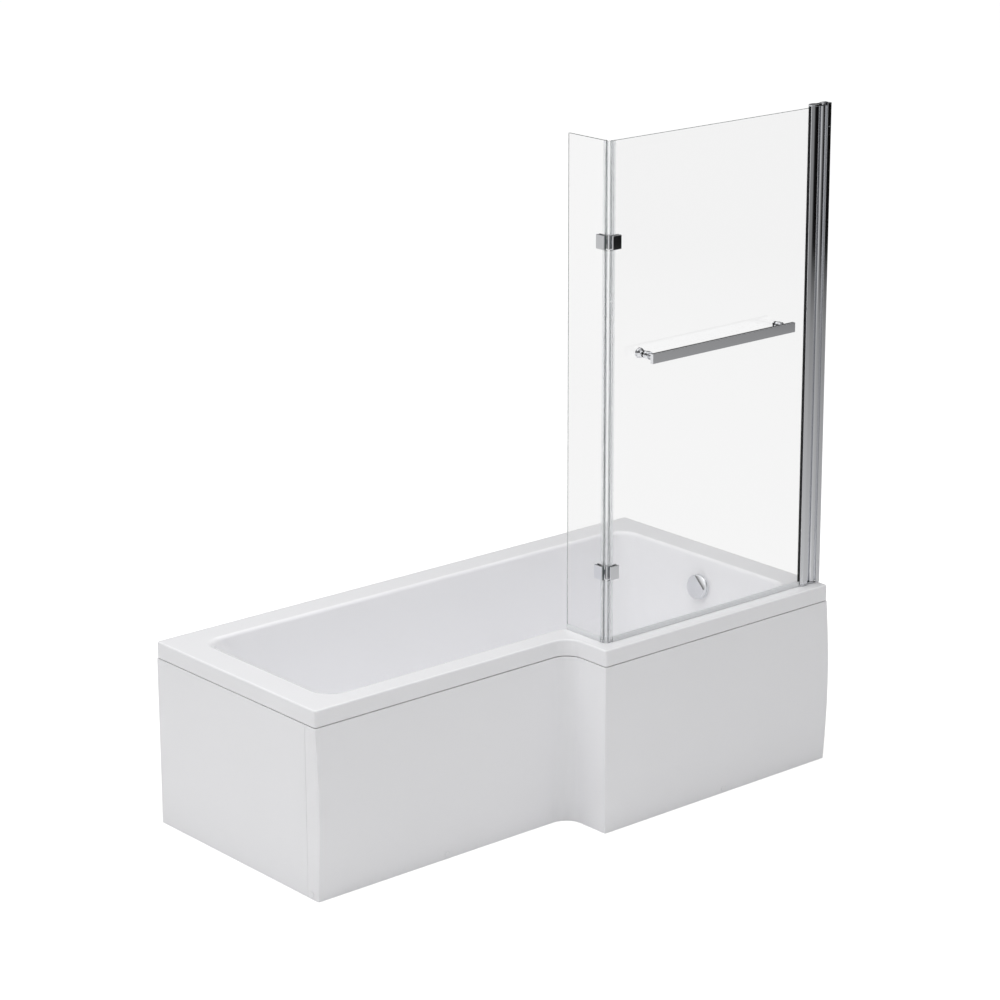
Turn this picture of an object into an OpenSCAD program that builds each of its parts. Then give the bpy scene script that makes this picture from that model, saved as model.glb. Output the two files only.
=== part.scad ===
// L-shaped shower bath with a front panel, an end panel and a hinged glass screen.
// The modules work in the room's corner frame: X runs along the wall from the head end,
// Y is 0 at the back wall and falls towards the front, and Z is up from the floor.
// placed() then moves everything so that the origin is at the middle of the base.

/* [Bath] */
// Length of the bath along the back wall
bath_l = 1700; // [1600:5:1800]
// Width over the rim at the head end
narrow_w = 700; // [680:5:720]
// Width over the rim at the shower end
wide_w = 850; // [840:5:900]
// Height of the rim's top above the floor
rim_h = 524; // [515:1:560]
// Distance from the head end to the step in the front
step_x = 856; // [820:1:900]
// Radius of the inner corner at the step
step_r = 52; // [40:1:70]
// Height of the down-turned lip of the rim
lip_h = 46; // [40:1:55]
// Radius of the outer corners in plan
rim_corner_r = 8; // [7:0.5:14]
// Radius along the top edge of the rim
rim_edge_r = 5; // [3:0.5:6]
// Thickness of the reinforced acrylic
shell_t = 5; // [4:0.5:6]

/* [Basin] */
// Width of the rim along the back wall
rim_back = 88; // [80:1:110]
// Width of the rim at the head end
rim_head = 90; // [75:1:110]
// Width of the rim along the front
rim_front = 68; // [66:1:80]
// Width of the rim at the tap end
rim_tap = 90; // [80:1:100]
// Height of the basin's floor above the ground, which leaves room for the trap
floor_z = 124; // [120:1:140]
// How far the sloping back rest runs in at the head end
head_run = 220; // [150:5:260]
// How far the other walls run in
side_run = 45; // [30:1:55]
// Radius where the walls meet the floor
floor_r = 70; // [50:1:80]
// Radius where the rim turns down into the basin
mouth_r = 10; // [6:1:12]
// Corner radius of the basin in plan at the rim
basin_r = 65; // [50:1:80]
// Corner radius of the basin in plan at the floor
basin_floor_r = 95; // [70:1:110]

/* [Panels] */
// Thickness of the panels
panel_t = 3; // [2.5:0.5:3.5]
// How far the front panel bows out at its middle
panel_bulge = 12; // [6:1:16]
// Shadow gap between the rim's lip and the panels
panel_joint = 2.5; // [1.5:0.5:4]
// How far the upstand stands back from the panel's face
upstand_in = 8; // [7.5:0.5:9]
// Height of the upstand behind the lip
upstand_h = 20; // [12:1:22]
// Width of the front panel's wrap round the head-end corner
wrap_w = 43; // [35:1:55]
// Width of the front panel's return at the tap end
return_flange = 25; // [15:1:35]
// Height of the panel screws above the floor
panel_screw_z = 14; // [12:1:20]
// Radius of the panel screw caps
screw_cap_r = 8; // [6:0.5:10]

/* [Undercarriage] */
// Thickness of the base board
board_t = 15; // [12:1:18]
// Thickness of the battens under the rim
batten_t = 18; // [14:1:18]
// Width of the battens under the rim
batten_w = 40; // [30:1:40]
// Height of the floor battens
floor_batten_h = 38; // [30:1:45]
// Thickness of the floor battens
floor_batten_t = 25; // [20:1:30]
// Distance of the head cradle from the head end
head_cradle_x = 520; // [480:5:600]
// Distance of the tap cradle from the tap end
tap_cradle_x = 400; // [380:5:450]
// Width of a cradle's channel
cradle_w = 50; // [40:1:60]
// Depth of a cradle's channel
cradle_h = 25; // [20:1:28]
// Thickness of the cradle steel
cradle_t = 2; // [1.5:0.5:2.5]
// Distance of the feet from the outer edges of the rim
foot_in = 92; // [85:1:98]
// Radius of a foot's threaded stud
stud_r = 5; // [4:0.5:6]
// Radius of a foot's pad
pad_r = 22; // [18:1:28]
// Height of a foot's pad
pad_h = 14; // [10:1:18]

/* [Waste and overflow] */
// Distance of the waste from the tap end
waste_in = 275; // [262:1:300]
// Radius of the waste hole in the floor
waste_hole_r = 26; // [24:0.5:28]
// Radius of the waste flange
flange_r = 36; // [33:0.5:40]
// Radius of the pop-up plug
plug_r = 21.3; // [18:0.1:21.5]
// Radius of the plug's stem
stem_r = 4; // [3:0.25:5]
// Outer radius of the trap pipe
trap_r = 18; // [16:0.5:18]
// Radius of the bore for the waste pipe at the trap's outlet
outlet_r = 20.7; // [19:0.1:21.5]
// Length of the bore for the waste pipe
outlet_l = 30; // [20:1:40]
// Distance of the overflow's centre below the rim
overflow_drop = 88; // [80:1:110]
// Radius of the overflow's chrome plate
overflow_plate_r = 36.5; // [32:0.5:40]
// Radius of the overflow knob
knob_r = 35; // [28:0.5:36]
// Thickness of the overflow knob
knob_t = 13; // [9:0.5:16]
// Radius of the knob's spindle
spindle_r = 4; // [3:0.25:5]
// Outer radius of the overflow hose
hose_r = 11; // [9:0.5:12]

/* [Screen] */
// Thickness of the glass
glass_t = 6; // [5:0.5:6]
// Height of the glass
glass_h = 1355; // [1200:5:1450]
// Distance of the main pane's middle from the front edge of the rim
screen_in = 45; // [42:0.5:46]
// Distance of the return pane's middle from the step
return_in = 41; // [36:0.5:46]
// Width of the return pane
return_w = 142; // [120:1:160]
// Distance of each pane's edge from the corner
corner_gap = 13; // [12.5:0.1:14]
// Distance of the hinge pins inside both panes
hinge_in = 9; // [8.5:0.1:10]
// Height of the upper hinge above the rim
upper_hinge_h = 1094; // [900:1:1150]
// Height of the lower hinge above the rim
lower_hinge_h = 196; // [120:1:300]
// Height of a hinge leaf
leaf_h = 38; // [34:1:44]
// Width of a hinge leaf
leaf_w = 30; // [26:1:36]
// Thickness of a hinge leaf's outer plate
leaf_t = 5; // [3.5:0.5:6]
// Radius of the hinge pins
pin_r = 2.5; // [2:0.25:3]
// Height of the bottom seals
seal_h = 14; // [12:0.5:18]
// Wall of the plastic seals
seal_t = 1.2; // [1:0.1:1.4]

/* [Post and profiles] */
// Radius of the pivot post
post_r = 9.5; // [8.5:0.5:9.5]
// Distance of the pivot from the tap-end wall
post_in = 24; // [23.5:0.5:26]
// Gap between the post and the glass profile
swing_gap = 5; // [4.8:0.1:6]
// Width of the glass profile
profile_w = 38; // [34:1:44]
// Depth of the profiles
profile_d = 30; // [29:0.5:30]
// Height of the profiles above the glass
profile_over = 3; // [2:1:20]
// Thickness of the profile caps
cap_t = 3; // [2.5:0.5:4]
// Height of the pivot boss on the top cap
boss_h = 4; // [3:0.5:8]
// How deep the glass sits in its profile
glass_bite = 20; // [14:1:22]
// Radius of the wall screw holes
wall_hole_r = 2.75; // [2:0.25:3.5]
// Distance of the outer wall screw holes from the profile's ends
wall_hole_end = 150; // [100:5:250]

/* [Towel rail] */
// Height of the rail's middle above the rim
rail_h = 777; // [600:1:900]
// Length of the bar
rail_l = 528; // [450:1:560]
// Height of the bar
bar_h = 27; // [20:1:30]
// Thickness of the bar
bar_t = 11; // [8:0.5:14]
// Distance between the two posts
rail_posts_l = 488; // [400:1:510]
// Distance from the glass corner to the first post
rail_x = 129; // [110:1:140]
// Clear distance between the glass and the bar
rail_gap = 42; // [38:1:60]
// Radius of the pull knob inside the glass
rail_knob_r = 14; // [11:0.5:15]
// Length of the pull knob
rail_knob_l = 21; // [10:0.5:22]

/* [Hidden] */
// Faces that only rest on each other stand this far apart
fit_gap = 0.3;
// Radial clearance of a pin or spindle that turns
run_gap = 0.05;
// Points along each rounded corner of the lofted outlines
ARC = 8;
$fn = 48;

// Shades that the photo shows
acrylic = "#f1f2f4";
fibre = "#d8d5cb";
chrome = "#c9ccd1";
steel = "#a9adb3";
clear_glass = [0.86, 0.93, 0.92, 0.35];
clear_pvc = "#e6eaec";
nylon = "#3b3f45";
board = "#c9a878";
pipe_white = "#e9eaec";
rubber = "#26282b";

// Heights
basin_depth = rim_h - floor_z;
under_z = floor_z - shell_t;
board_z = under_z - fit_gap - board_t;
lip_z = rim_h - lip_h;
panel_top = lip_z - panel_joint;
web_z = board_z - fit_gap;
batten_z = rim_h - shell_t - fit_gap - batten_t;
glass_z = rim_h + 6;
glass_top = glass_z + glass_h;
seal_z = rim_h + 0.5;
profile_top = glass_top + profile_over;

// Places in plan
main_y = screen_in - wide_w;
return_x = step_x + return_in;
pin_x = return_x + hinge_in;
pin_y = main_y + hinge_in;
post_x = bath_l - post_in;
post_y = main_y;
profile_x1 = post_x - post_r - swing_gap;
profile_x0 = profile_x1 - profile_w;
glass_x0 = return_x + corner_gap;
glass_x1 = profile_x0 + glass_bite;
return_y0 = main_y + corner_gap;
return_y1 = return_y0 + return_w;
waste_x = bath_l - waste_in;
basin_front = wide_w - rim_front;
waste_y = -(rim_back + basin_front) / 2;
rim_step = rim_front;

// The end cap stands out furthest at the head end, and the panel's bow at the front
screw_cap_out = 2.8;
module placed() {
    translate([(screw_cap_out - bath_l) / 2, (wide_w + panel_bulge) / 2, 0]) children();
}

// A rod along X or along Y, from the origin towards plus
module rod_x(r, l) { rotate([0, 90, 0]) cylinder(r = r, h = l); }
module rod_y(r, l) { rotate([-90, 0, 0]) cylinder(r = r, h = l); }

// A round corner at p, coming in along a and leaving along b
function corner(p, a, b, r) =
    let (c = p - r * a + r * b)
    [for (i = [0:ARC]) let (q = 90 * i / ARC) c + r * (sin(q) * a - cos(q) * b)];

// The two round corners of the step at x = xs, from the line y = yn down to y = yw. Where they are
// too large for it, both turn through less than a right angle and a short straight joins them.
step_line = 20;
function step_turn(r, h) =
    r + step_line < h ? 90 : acos((r - h) / norm([r, step_line])) - atan(step_line / r);
function step_corners(xs, yn, yw, rs, r) =
    let (t = step_turn(rs + r, yn - yw), x = step_line / 2 * cos(t))
    concat(
        [for (i = [0:ARC]) let (q = t * i / ARC)
            [xs - x - rs * (sin(t) - sin(q)), yn - rs * (1 - cos(q))]],
        [for (i = [ARC:-1:0]) let (q = t * i / ARC)
            [xs + x + r * (sin(t) - sin(q)), yw + r * (1 - cos(q))]]);

// The L-shaped outline between the given edges, counter-clockwise
function outline(xh, xs, xt, yb, yn, yw, r, rs) =
    let (px = [1, 0], nx = [-1, 0], py = [0, 1], ny = [0, -1])
    concat(
        corner([xh, yn], ny, px, r), step_corners(xs, yn, yw, rs, r), corner([xt, yw], px, py, r),
        corner([xt, yb], py, nx, r), corner([xh, yb], nx, ny, r));

function lift(points, z) = [for (p = points) [p[0], p[1], z]];

// The rim's outline moved in by d
function rim_outline(d) = outline(
    d, step_x + d, bath_l - d, -d, d - narrow_w, d - wide_w,
    max(rim_corner_r - d, 1), step_r + d);

// How far a basin wall stands in from its mouth at a depth, beyond its plain slope
function turn_in(depth) =
    depth < mouth_r
        ? -mouth_r * (1 - sqrt(1 - pow(1 - depth / mouth_r, 2)))
        : depth > basin_depth - floor_r
            ? floor_r * (1 - sqrt(max(0, 1 - pow((depth - basin_depth + floor_r) / floor_r, 2))))
            : 0;

// The basin's outline at a depth, grown outwards by o
function basin_outline(depth, o) =
    let (
        w = depth / basin_depth,
        d = side_run * w + turn_in(depth) - o,
        dh = head_run * w + turn_in(depth) - o)
    outline(
        rim_head + dh, step_x + rim_step + d, bath_l - rim_tap - d,
        -rim_back - d, rim_front + d - narrow_w, rim_front + d - wide_w,
        basin_r + (basin_floor_r - basin_r) * w + o, basin_r + d);

// The basin's surface at a depth, moved outwards and down by o
function basin_ring(depth, o) = lift(basin_outline(depth, o), rim_h - o - depth);

// Depths at which the basin's outline is taken, from the mouth to the floor
mouth_depths = [for (i = [0:3]) mouth_r * (1 - cos(30 * i))];
floor_depths = [for (i = [0:5]) basin_depth - floor_r * (1 - sin(18 * i))];
wall_depths = concat(mouth_depths, [basin_depth / 3, basin_depth * 0.6]);
basin_depths = concat(wall_depths, floor_depths);

// Joins closed rings of equal length into one solid. A thin ring is closed row by row across it.
module skin(rings, thin = false) {
    n = len(rings[0]);
    m = len(rings);
    sides = [for (i = [0:m - 2], j = [0:n - 1])
        each let (a = i * n + j, b = i * n + (j + 1) % n) [[a, b, b + n], [a, b + n, a + n]]];
    rows = [for (j = [0:n / 2 - 2]) each [[j, j + 1, n - 2 - j], [j, n - 2 - j, n - 1 - j]]];
    cap = thin ? rows : [[for (j = [0:n - 1]) j]];
    first_cap = [for (face = cap) [for (j = [len(face) - 1:-1:0]) face[j]]];
    last_cap = [for (face = cap) [for (j = face) (m - 1) * n + j]];
    polyhedron([for (r = rings) each r], concat(first_cap, sides, last_cap));
}

// The overflow's own frame: Z stands off the tap-end wall into the basin
wall_lean = atan(side_run / basin_depth);
overflow_x = bath_l - rim_tap - side_run * overflow_drop / basin_depth;
overflow_z = rim_h - overflow_drop;
module at_overflow() {
    translate([overflow_x, waste_y, overflow_z]) rotate([0, wall_lean - 90, 0]) children();
}

// Bath and its undercarriage

module bath_shell() {
    inner = [for (i = [len(basin_depths) - 1:-1:0]) basin_ring(basin_depths[i], 0)];
    edge = [for (i = [0:3])
        lift(rim_outline(rim_edge_r * (1 - sin(30 * i))), rim_h - rim_edge_r * (1 - cos(30 * i)))];
    lip = [lift(rim_outline(0), lip_z), lift(rim_outline(skin_t), lip_z),
        lift(rim_outline(skin_t), rim_h - skin_t)];
    outer = [for (d = basin_depths) basin_ring(d, skin_t)];
    color(acrylic) placed() difference() {
        skin(concat(inner, edge, lip, outer));
        translate([waste_x, waste_y, under_z - 1]) cylinder(r = waste_hole_r, h = shell_t + 2);
        at_overflow() translate([0, 0, -3 * shell_t]) cylinder(r = overflow_hole_r, h = 4 * shell_t);
    }
}
overflow_hole_r = 17;

// Glass-fibre mats back the acrylic in strips, one for each straight run and each half of a corner
mat_t = 2;
mat_in = shell_t - mat_t;
skin_t = mat_in - fit_gap;
mat_joint = fit_gap / 2;
corners = 6;
step_corner = 1;
tap_run = 3;
outline_n = corners * (ARC + 1);
function corner_columns(k) = let (a = k * (ARC + 1))
    [[for (i = [0:ARC / 2]) a + i], [for (i = [ARC / 2:ARC]) a + i]];
function run_columns(k) = let (a = k * (ARC + 1) + ARC) [a, (a + 1) % outline_n];

// A point moved towards another by the joint
function joint_in(p, q) = p + mat_joint * (q - p) / norm(q - p);

// The points of an outline at these columns, with a joint left at both ends
function strip_line(points, columns) = let (n = len(columns), p = [for (i = columns) points[i]])
    [for (i = [0:n - 1]) i == 0 ? joint_in(p[0], p[1]) : i == n - 1 ? joint_in(p[i], p[i - 1]) : p[i]];

// A strip between outlines, given round its section: down the basin's side, then up the other
module strip(outlines, columns) {
    lines = [for (o = outlines) strip_line(o, columns)];
    skin([for (i = [0:len(columns) - 1]) [for (line = lines) line[i]]], thin = true);
}
module strips(outlines, run_list, corner_list) {
    for (k = run_list) strip(outlines, run_columns(k));
    for (k = corner_list, half = [0, 1]) strip(outlines, corner_columns(k)[half]);
}
function band(depths) = concat([for (d = depths) basin_ring(d, mat_in)],
    [for (i = [len(depths) - 1:-1:0]) basin_ring(depths[i], shell_t)]);

// Rows of the floor's fillet at these angles, the first one a joint lower
function fillet_rows(angles) = [for (i = [0:len(angles) - 1])
    basin_depth - floor_r * (1 - sin(angles[i])) + (i == 0 ? fit_gap : 0)];

module fibre_mats() {
    every = [for (k = [0:corners - 1]) k];
    wall = band(concat(wall_depths, [basin_depth - floor_r]));
    rim_top = rim_h - mat_in;
    rim_low = rim_h - shell_t;
    mouth_line = basin_outline(0, shell_t + fit_gap);
    edge_line = rim_outline(shell_t + fit_gap);
    color(fibre) placed() {
        difference() {
            strip(wall, run_columns(tap_run));
            at_overflow() translate([0, 0, -3 * shell_t]) cylinder(r = overflow_hole_r, h = 4 * shell_t);
        }
        strips(wall, [for (k = every) if (k != tap_run) k], every);
        strips(band(fillet_rows([0, 18, 36, 54])), every, every);
        strips(band(fillet_rows([54, 72, 90])), every, every);
        strips([lift(mouth_line, rim_top), lift(mouth_line, rim_low), lift(edge_line, rim_low),
            lift(edge_line, rim_top)], every, every);
        strips([lift(rim_outline(shell_t), rim_top), lift(rim_outline(shell_t), lip_z),
            lift(rim_outline(mat_in), lip_z), lift(rim_outline(mat_in), rim_top)], every, [step_corner]);
        for (side = [0, 1]) floor_mat(side);
    }
}

// The floor's mat, cut in two at the step
module floor_mat(side) {
    cut_x = step_x + rim_step + side_run + floor_r;
    translate([0, 0, under_z]) difference() {
        linear_extrude(mat_t) polygon(basin_outline(basin_depth, skin_t));
        translate([side == 0 ? cut_x - mat_joint : mat_joint + cut_x - bath_l, -wide_w, -1])
            cube([bath_l, wide_w, mat_t + 2]);
        translate([waste_x, waste_y, -1]) cylinder(r = waste_hole_r, h = mat_t + 2);
    }
}

// The flat part of the basin floor, moved in by d
function floor_outline(d) =
    let (e = side_run + floor_r + d)
    [[rim_head + head_run + floor_r + d, rim_front + e - narrow_w],
        [step_x + rim_step + e, rim_front + e - narrow_w],
        [step_x + rim_step + e, rim_front + e - wide_w],
        [bath_l - rim_tap - e, rim_front + e - wide_w],
        [bath_l - rim_tap - e, -rim_back - e],
        [rim_head + head_run + floor_r + d, -rim_back - e]];
board_in = 18;

module base_board() {
    color(board) placed() translate([0, 0, board_z]) difference() {
        linear_extrude(board_t) polygon(floor_outline(board_in));
        translate([waste_x, waste_y, -1]) cylinder(r = waste_well_r, h = board_t + 2);
        for (p = board_screw_places)
            translate([p[0], p[1], -1]) cylinder(r = board_screw_r + run_gap, h = board_screw_l);
    }
}
waste_well_r = 42;

// A straight bar between two corners of a box
module bar(x0, x1, y0, y1, z, h) {
    translate([min(x0, x1), min(y0, y1), z]) cube([abs(x1 - x0), abs(y1 - y0), h]);
}

// Battens stand this far in from the rim's outer face, and this far from its corners
batten_in = 8;
batten_end = 62;

module rim_battens() {
    a = batten_in;
    b = batten_in + batten_w;
    color(board) placed() {
        bar(batten_end, bath_l - batten_end, -a, -b, batten_z, batten_t);
        bar(a, b, -batten_end, batten_end - narrow_w, batten_z, batten_t);
        bar(batten_end, step_x - batten_end, a - narrow_w, b - narrow_w, batten_z, batten_t);
        bar(step_x + a, step_x + b, -narrow_w, b + fit_gap - wide_w, batten_z, batten_t);
        bar(step_x + a, bath_l - batten_end, a - wide_w, b - wide_w, batten_z, batten_t);
        bar(bath_l - a, bath_l - b, -batten_end, batten_end - wide_w, batten_z, batten_t);
    }
}

// A cradle is a steel channel across the bath, open below, with a hole for a foot at each end
module cradle(x, y_front) {
    l = -y_front - foot_in + 2 * cradle_end;
    translate([x - cradle_w / 2, y_front - cradle_end, web_z - cradle_h]) difference() {
        cube([cradle_w, l, cradle_h]);
        translate([cradle_t, -1, -1]) cube([cradle_w - 2 * cradle_t, l + 2, cradle_h - cradle_t + 1]);
        for (y = [cradle_end, l - cradle_end])
            translate([cradle_w / 2, y, 0]) cylinder(r = stud_r + 0.5, h = cradle_h + 1);
        for (y = [cradle_end + cradle_screw_y, l / 2])
            translate([cradle_w / 2, y, 0]) cylinder(r = board_screw_r + run_gap, h = cradle_h + 1);
    }
}
cradle_end = 22;
cradle_screw_y = 150;
board_screw_r = 2.2;
tap_x = bath_l - tap_cradle_x;
narrow_foot_y = foot_in - narrow_w;
wide_foot_y = foot_in - wide_w;
// The centre foot stands under the middle of the flat floor
centre_x = (rim_head + head_run + floor_r + bath_l - rim_tap - side_run - floor_r) / 2;
centre_y = -(rim_back + narrow_w - rim_front) / 2;

module head_cradle() { color(steel) placed() cradle(head_cradle_x, narrow_foot_y); }
module tap_cradle() { color(steel) placed() cradle(tap_x, wide_foot_y); }

// A hat-shaped bracket: two flanges against the board and a web below for the centre foot
module centre_bracket() {
    w = bracket_w;
    color(steel) placed() translate([centre_x - w / 2, centre_y - w / 2, web_z - cradle_h]) difference() {
        union() {
            cube([w, w, cradle_t]);
            for (x = [0, w - cradle_t]) translate([x, 0, 0]) cube([cradle_t, w, cradle_h]);
            for (x = [-bracket_flange, w - cradle_t])
                translate([x, 0, cradle_h - cradle_t]) cube([bracket_flange + cradle_t, w, cradle_t]);
        }
        translate([w / 2, w / 2, -1]) cylinder(r = stud_r + 0.5, h = cradle_t + 2);
        for (x = [-bracket_flange / 2, w + bracket_flange / 2])
            translate([x, w / 2, 0]) cylinder(r = board_screw_r + run_gap, h = cradle_h + 1);
    }
}
bracket_w = 60;
bracket_flange = 20;

// A wood screw, head down, its shank running up into the board
module board_screw(x, y, z) {
    translate([x, y, z - board_screw_head]) cylinder(r = 2 * board_screw_r, h = board_screw_head);
    translate([x, y, z - board_screw_head]) cylinder(r = board_screw_r, h = board_screw_l);
}
board_screw_head = 2.5;
board_screw_l = 14;

// Two screws through each cradle and one through each flange of the bracket
function cradle_screw_ys(y_front) = [y_front + cradle_screw_y, (y_front - foot_in) / 2];
board_screw_places = concat(
    [for (y = cradle_screw_ys(narrow_foot_y)) [head_cradle_x, y]],
    [for (y = cradle_screw_ys(wide_foot_y)) [tap_x, y]],
    [for (s = [-1, 1]) [centre_x + s * (bracket_w + bracket_flange) / 2, centre_y]]);

module cradle_screws() {
    color(steel) placed() for (p = board_screw_places)
        board_screw(p[0], p[1], web_z - cradle_t - fit_gap);
}

// A six-sided nut on a stud
module stud_nut(x, y, z) {
    translate([x, y, z]) difference() {
        cylinder(r = 1.85 * stud_r, h = nut_h, $fn = 6);
        translate([0, 0, -1]) cylinder(r = stud_r + run_gap, h = nut_h + 2);
    }
}
nut_h = 8;
foot_places = [[head_cradle_x, -foot_in], [head_cradle_x, narrow_foot_y],
    [tap_x, -foot_in], [tap_x, wide_foot_y]];

module leg_nuts() {
    color(steel) placed() {
        for (p = foot_places) {
            stud_nut(p[0], p[1], web_z + fit_gap);
            stud_nut(p[0], p[1], web_z - cradle_t - fit_gap - nut_h);
        }
        stud_nut(centre_x, centre_y, web_z - cradle_h - fit_gap - nut_h);
    }
}

// A pad with a threaded stud standing in it
module foot(x, y, top) {
    color(steel) placed() translate([x, y, 0]) union() {
        rotate_extrude() polygon([[0, 0], [pad_r, 0], [pad_r, pad_h * 0.35],
            [pad_r * 0.55, pad_h * 0.7], [pad_r * 0.45, pad_h], [0, pad_h]]);
        cylinder(r = stud_r, h = top);
    }
}
stud_top = web_z + 26;
module head_back_foot() { foot(head_cradle_x, -foot_in, stud_top); }
module head_front_foot() { foot(head_cradle_x, narrow_foot_y, stud_top); }
module tap_back_foot() { foot(tap_x, -foot_in, stud_top); }
module tap_front_foot() { foot(tap_x, wide_foot_y, stud_top); }
module centre_foot() { foot(centre_x, centre_y, web_z - cradle_h + cradle_t + 3); }

// A hook screwed to the wall, whose upstand holds the back lip from inside
hook_w = 40;
hook_t = 2;
hook_h = 50;
hook_xs = [bath_l * 0.25, bath_l * 0.75];
module wall_hooks() {
    top = lip_z - fit_gap;
    color(steel) placed() for (x = hook_xs) translate([x - hook_w / 2, 0, top]) difference() {
        union() {
            translate([0, -hook_t, -hook_h]) cube([hook_w, hook_t, hook_h]);
            translate([0, -hook_reach, -hook_t]) cube([hook_w, hook_reach, hook_t]);
            translate([0, -hook_reach, -hook_t]) cube([hook_w, hook_t, hook_up]);
        }
        translate([hook_w / 2, -hook_t - 1, -hook_h / 2]) rod_y(wall_hole_r, hook_t + 2);
    }
}
hook_reach = shell_t + fit_gap + hook_t;
hook_up = 18;

// Panels

// Bow of the front panel at a height
function bow(z) = panel_bulge * sin(180 * min(z, panel_top) / panel_top);
bow_steps = 12;

// Section of a panel as [distance in from its face, height]
panel_in = upstand_in + panel_t;
function panel_section(steps) = concat(
    [for (i = [0:steps]) [0, panel_top * i / steps]],
    [[upstand_in, panel_top], [upstand_in, panel_top + upstand_h],
        [panel_in, panel_top + upstand_h], [panel_in, panel_top - panel_t]],
    [for (i = [steps:-1:0]) [panel_t, (panel_top - panel_t) * i / steps]]);

// The same section with its bow
function bowed(points) = [for (p = points) [p[0] - bow(p[1]), p[1]]];

// A straight run of the front panel along +X, facing -Y
module panel_run(l) {
    rotate([90, 0, 90]) linear_extrude(l) polygon(bowed(panel_section(bow_steps)));
}

// The panel's wrap round an end: a flat plate whose front edge follows the bow, with its own upstand
module panel_wrap(w) {
    edge = [for (i = [0:bow_steps]) [panel_t / 2, panel_top * i / bow_steps]];
    rotate([90, 0, 90]) linear_extrude(panel_t) polygon(concat(bowed(edge), [[w, panel_top], [w, 0]]));
    translate([0, panel_t / 2, panel_top - panel_t]) cube([panel_in, w - panel_t / 2, panel_t]);
    translate([upstand_in, upstand_in, panel_top - panel_t])
        cube([panel_t, w - upstand_in, upstand_h + panel_t]);
}

// A block that clears the front's upstand from the corner at an end
module upstand_notch() {
    translate([-1, -panel_bulge, panel_top]) cube([upstand_in + 1, panel_bulge + 2 * panel_in, upstand_h + 1]);
}

// Everything to the +Y side of the mitre through the convex corner, 0, or to its other side, -1
module mitre_side(side) {
    translate([step_x, -wide_w, -1]) rotate([0, 0, 45])
        translate([-3 * panel_bulge, side * bath_l, 0]) cube([bath_l, bath_l, rim_h]);
}

// Panel screws as [place on the face, way in]
front_screws = [[[427, -narrow_w], [0, 1]], [[1300, -wide_w], [0, 1]]];
wrap_screw_in = 27;
panel_screw_places = concat(front_screws, [[[0, wrap_screw_in - narrow_w], [1, 0]]]);
panel_screw_r = 2;
face_bow = bow(panel_screw_z);
face_lean = atan(panel_bulge * PI / panel_top * cos(180 * panel_screw_z / panel_top));

// Turns a rod along +X so that it runs the way in
module at_panel_screw(s) {
    out = s[1][1] * face_bow;
    translate([s[0][0], s[0][1] - out, panel_screw_z]) rotate([0, 0, s[1][0] > 0 ? 0 : 90]) children();
}

module front_panel() {
    arc_x = step_x - step_r;
    arc_y = -narrow_w - step_r;
    color(acrylic) placed() difference() {
        union() {
            translate([0, -narrow_w, 0]) panel_wrap(wrap_w);
            difference() {
                translate([0, -narrow_w, 0]) panel_run(arc_x);
                translate([0, -narrow_w, 0]) upstand_notch();
            }
            translate([arc_x, arc_y, 0]) rotate_extrude(angle = 90) translate([step_r, 0])
                polygon(bowed(panel_section(bow_steps)));
            intersection() {
                translate([step_x, arc_y, 0]) rotate([90, 0, 0])
                    linear_extrude(wide_w - narrow_w - step_r + panel_bulge)
                        polygon(bowed(panel_section(bow_steps)));
                mitre_side(0);
            }
            difference() {
                intersection() {
                    translate([step_x - panel_bulge, -wide_w, 0]) panel_run(bath_l - step_x + panel_bulge);
                    mitre_side(-1);
                }
                translate([bath_l, -wide_w, 0]) mirror([1, 0, 0]) upstand_notch();
            }
            translate([bath_l, -wide_w, 0]) mirror([1, 0, 0]) panel_wrap(return_flange);
        }
        for (s = panel_screw_places)
            at_panel_screw(s) translate([-panel_t, 0, 0]) rod_x(panel_screw_r + fit_gap, 3 * panel_t);
    }
}

end_gap = 1;
module end_panel() {
    l = narrow_w - wrap_w - 2 * end_gap;
    color(acrylic) placed() difference() {
        translate([0, -end_gap, 0]) rotate([90, 0, 0]) linear_extrude(l) polygon(panel_section(1));
        translate([panel_t, -shell_t - fit_gap, panel_top]) cube([rim_head, rim_back, upstand_h + 1]);
    }
}

// Wooden battens on the floor behind the panels
module floor_battens() {
    a = panel_t + fit_gap;
    b = a + floor_batten_t;
    end = batten_end;
    color(board) placed() difference() {
        union() {
            bar(a, b, -end, a - narrow_w, 0, floor_batten_h);
            bar(b + fit_gap, step_x - end, a - narrow_w, b - narrow_w, 0, floor_batten_h);
            bar(step_x + end, bath_l - end, a - wide_w, b - wide_w, 0, floor_batten_h);
        }
        for (s = panel_screw_places) at_panel_screw(s) rod_x(panel_screw_r + run_gap, panel_screw_l);
    }
}
panel_screw_l = 22;

module panel_screws() {
    color(steel) placed() for (s = panel_screw_places)
        at_panel_screw(s) translate([-fit_gap, 0, 0]) {
            rod_x(panel_screw_r, panel_screw_l);
            translate([-1.2, 0, 0]) rod_x(1.8 * panel_screw_r, 1.2);
        }
}

// A cap is a low cup over the screw's head
module panel_screw_caps() {
    color(acrylic) placed() for (s = panel_screw_places)
        at_panel_screw(s) rotate([0, -s[1][1] * face_lean, 0]) translate([-screw_cap_out, 0, 0]) difference() {
            rod_x(screw_cap_r, screw_cap_out - fit_gap);
            translate([1, 0, 0]) rod_x(1.8 * panel_screw_r + fit_gap, screw_cap_out);
        }
}

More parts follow.
